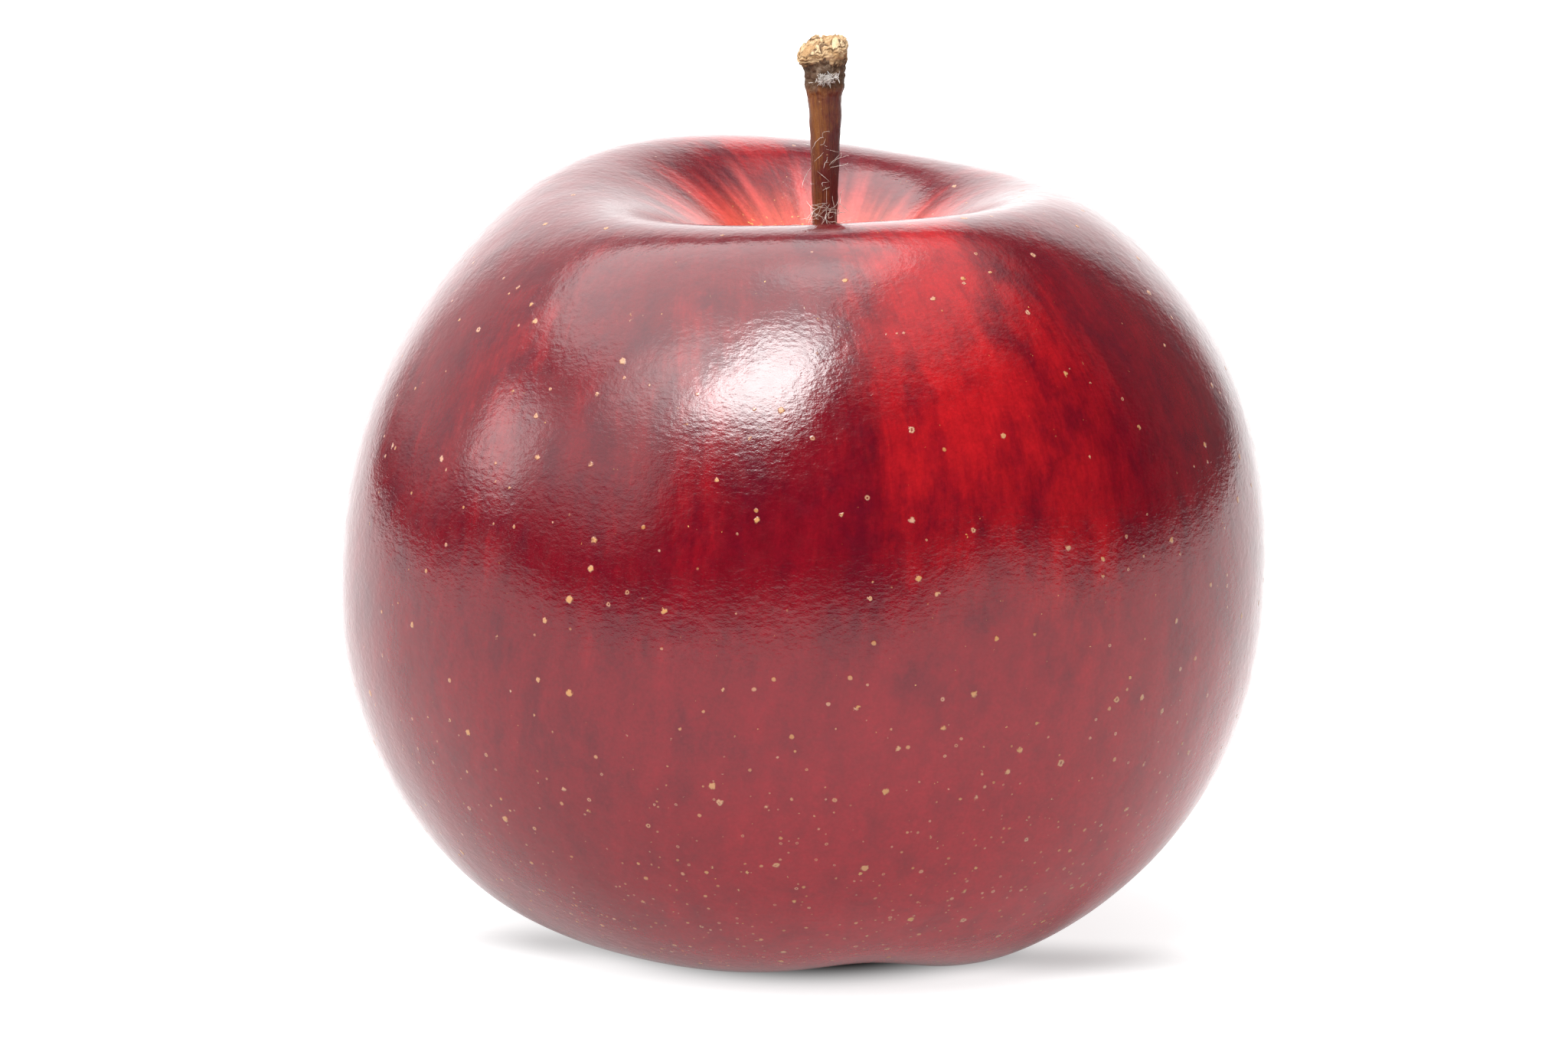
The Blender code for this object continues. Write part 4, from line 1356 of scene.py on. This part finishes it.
class AppleStudioSettings(bpy.types.PropertyGroup):
    lens: FloatProperty(name="Lens", default=122.6, min=10.0, max=500.0,
                        description="Focal length, in millimetres")
    camera_distance: FloatProperty(name="Camera distance", default=11.575 * FRUIT_RADIUS,
                                   min=0.05, max=10.0, unit="LENGTH",
                                   description="From the heart of the fruit")
    camera_height: FloatProperty(name="Camera height", default=math.radians(10.3),
                                 min=-1.5, max=1.5, subtype="ANGLE",
                                 description="Angle of the camera above the horizon")
    floor_front: FloatProperty(name="Table edge", default=20.0 * FRUIT_RADIUS, min=0.1, max=5.0,
                               unit="LENGTH", description="How far the table runs in front")
    floor_colour: colour_setting("Floor", "White paper", 0.300, 0.3000, 0.3000)
    # Painted light: strength of the floor's own emission, less the painted shadows.
    painted_table_light: FloatProperty(name="Table glow", default=0.86, min=0.0, max=10.0,
                              description="Light that comes up through the table")
    window_light: FloatProperty(name="Windows", default=1.0, min=0.0, max=20.0,
                                description="Brightness of all the windows and cards")
    overhead_light: FloatProperty(name="Overhead", default=4.3, min=0.0, max=200.0,
                                  description="Brightness of the wide source overhead")
    table_light: FloatProperty(name="Table", default=1.60, min=0.0, max=200.0,
                               description="Brightness of the white beyond the table")
    front_light: FloatProperty(name="Front", default=0.04, min=0.0, max=10.0,
                               description="Brightness of the dark room at the front")


# ------------------------------------------------------------------ operators

class APPLE_OT_fruit(bpy.types.Operator):
    """Make the fruit's skin, from the stem bowl to the eye"""
    bl_idname = "apple.make_fruit"
    bl_label = "Fruit"

    def execute(self, context):
        settings = context.scene.apple_skin
        seat_piece(build_fruit(), "skin", skin_material(settings), "fruit")
        return {"FINISHED"}


class APPLE_OT_stalk(bpy.types.Operator):
    """Make the stalk: its bark, its torn cork end and the white down on it"""
    bl_idname = "apple.make_stalk"
    bl_label = "Stalk"

    def execute(self, context):
        settings = context.scene.apple_stalk
        seat_piece(build_bark(settings), "bark", bark_material(settings), "stalk")
        seat_piece(build_cork(), "bark", cork_material(settings), "stalk")
        seat_piece(build_hairs(settings), "bark", down_material(settings))
        return {"FINISHED"}


class APPLE_OT_flower(bpy.types.Operator):
    """Make the dried flower in the eye: sepals, stamens, styles and their down"""
    bl_idname = "apple.make_flower"
    bl_label = "Dried flower"

    def execute(self, context):
        settings = context.scene.apple_flower
        dust = context.scene.apple_stalk.down_shade
        leaf = dried_material("dried_leaf", settings.sepal_colour, settings.sepal_pale, dust)
        thread = dried_material("dried_thread", settings.thread_colour, settings.thread_pale,
                                dust)
        for number in range(1, SEPAL_COUNT + 1):
            seat_piece(build_sepal(number), "dry_leaf", leaf, "sepal_%d" % number)
        seat_piece(build_stamens(), "dry_tuft", thread, "stamens")
        seat_piece(build_styles(), "dry_tuft", thread, "styles")
        seat_piece(build_flower_down(settings), "dry_leaf", leaf)
        return {"FINISHED"}


class APPLE_OT_studio(bpy.types.Operator):
    """Make the white studio: floor, light and camera"""
    bl_idname = "apple.make_studio"
    bl_label = "Studio"

    def execute(self, context):
        settings = context.scene.apple_studio
        build_floor(settings)
        build_world(settings)
        place_camera(settings)
        context.scene.view_settings.view_transform = "Standard"
        return {"FINISHED"}


class APPLE_PT_panel(bpy.types.Panel):
    """Sizes, colours and buttons for the apple"""
    bl_idname = "APPLE_PT_panel"
    bl_label = "Ripe Red Apple"
    bl_space_type = "VIEW_3D"
    bl_region_type = "UI"
    bl_category = "Apple"

    def draw(self, context):
        for name, operator in SECTIONS:
            settings = getattr(context.scene, name)
            box = self.layout.box()
            for key in settings.bl_rna.properties.keys():
                if key not in {"rna_type", "name"}:
                    box.prop(settings, key)
            box.operator(operator)


SECTIONS = (("apple_skin", "apple.make_fruit"), ("apple_stalk", "apple.make_stalk"),
            ("apple_flower", "apple.make_flower"), ("apple_studio", "apple.make_studio"))
GROUPS = (AppleSkinSettings, AppleStalkSettings, AppleFlowerSettings, AppleStudioSettings)
CLASSES = (*GROUPS, APPLE_OT_fruit, APPLE_OT_stalk, APPLE_OT_flower, APPLE_OT_studio,
           APPLE_PT_panel)


def register():
    for each in CLASSES:
        bpy.utils.register_class(each)
    for (name, _), group in zip(SECTIONS, GROUPS):
        setattr(bpy.types.Scene, name, PointerProperty(type=group))


def unregister():
    for name, _ in SECTIONS:
        delattr(bpy.types.Scene, name)
    for each in reversed(CLASSES):
        bpy.utils.unregister_class(each)


def main():
    register()
    bpy.ops.apple.make_fruit()
    bpy.ops.apple.make_stalk()
    bpy.ops.apple.make_flower()
    bpy.ops.apple.make_studio()


if __name__ == "__main__":
    main()
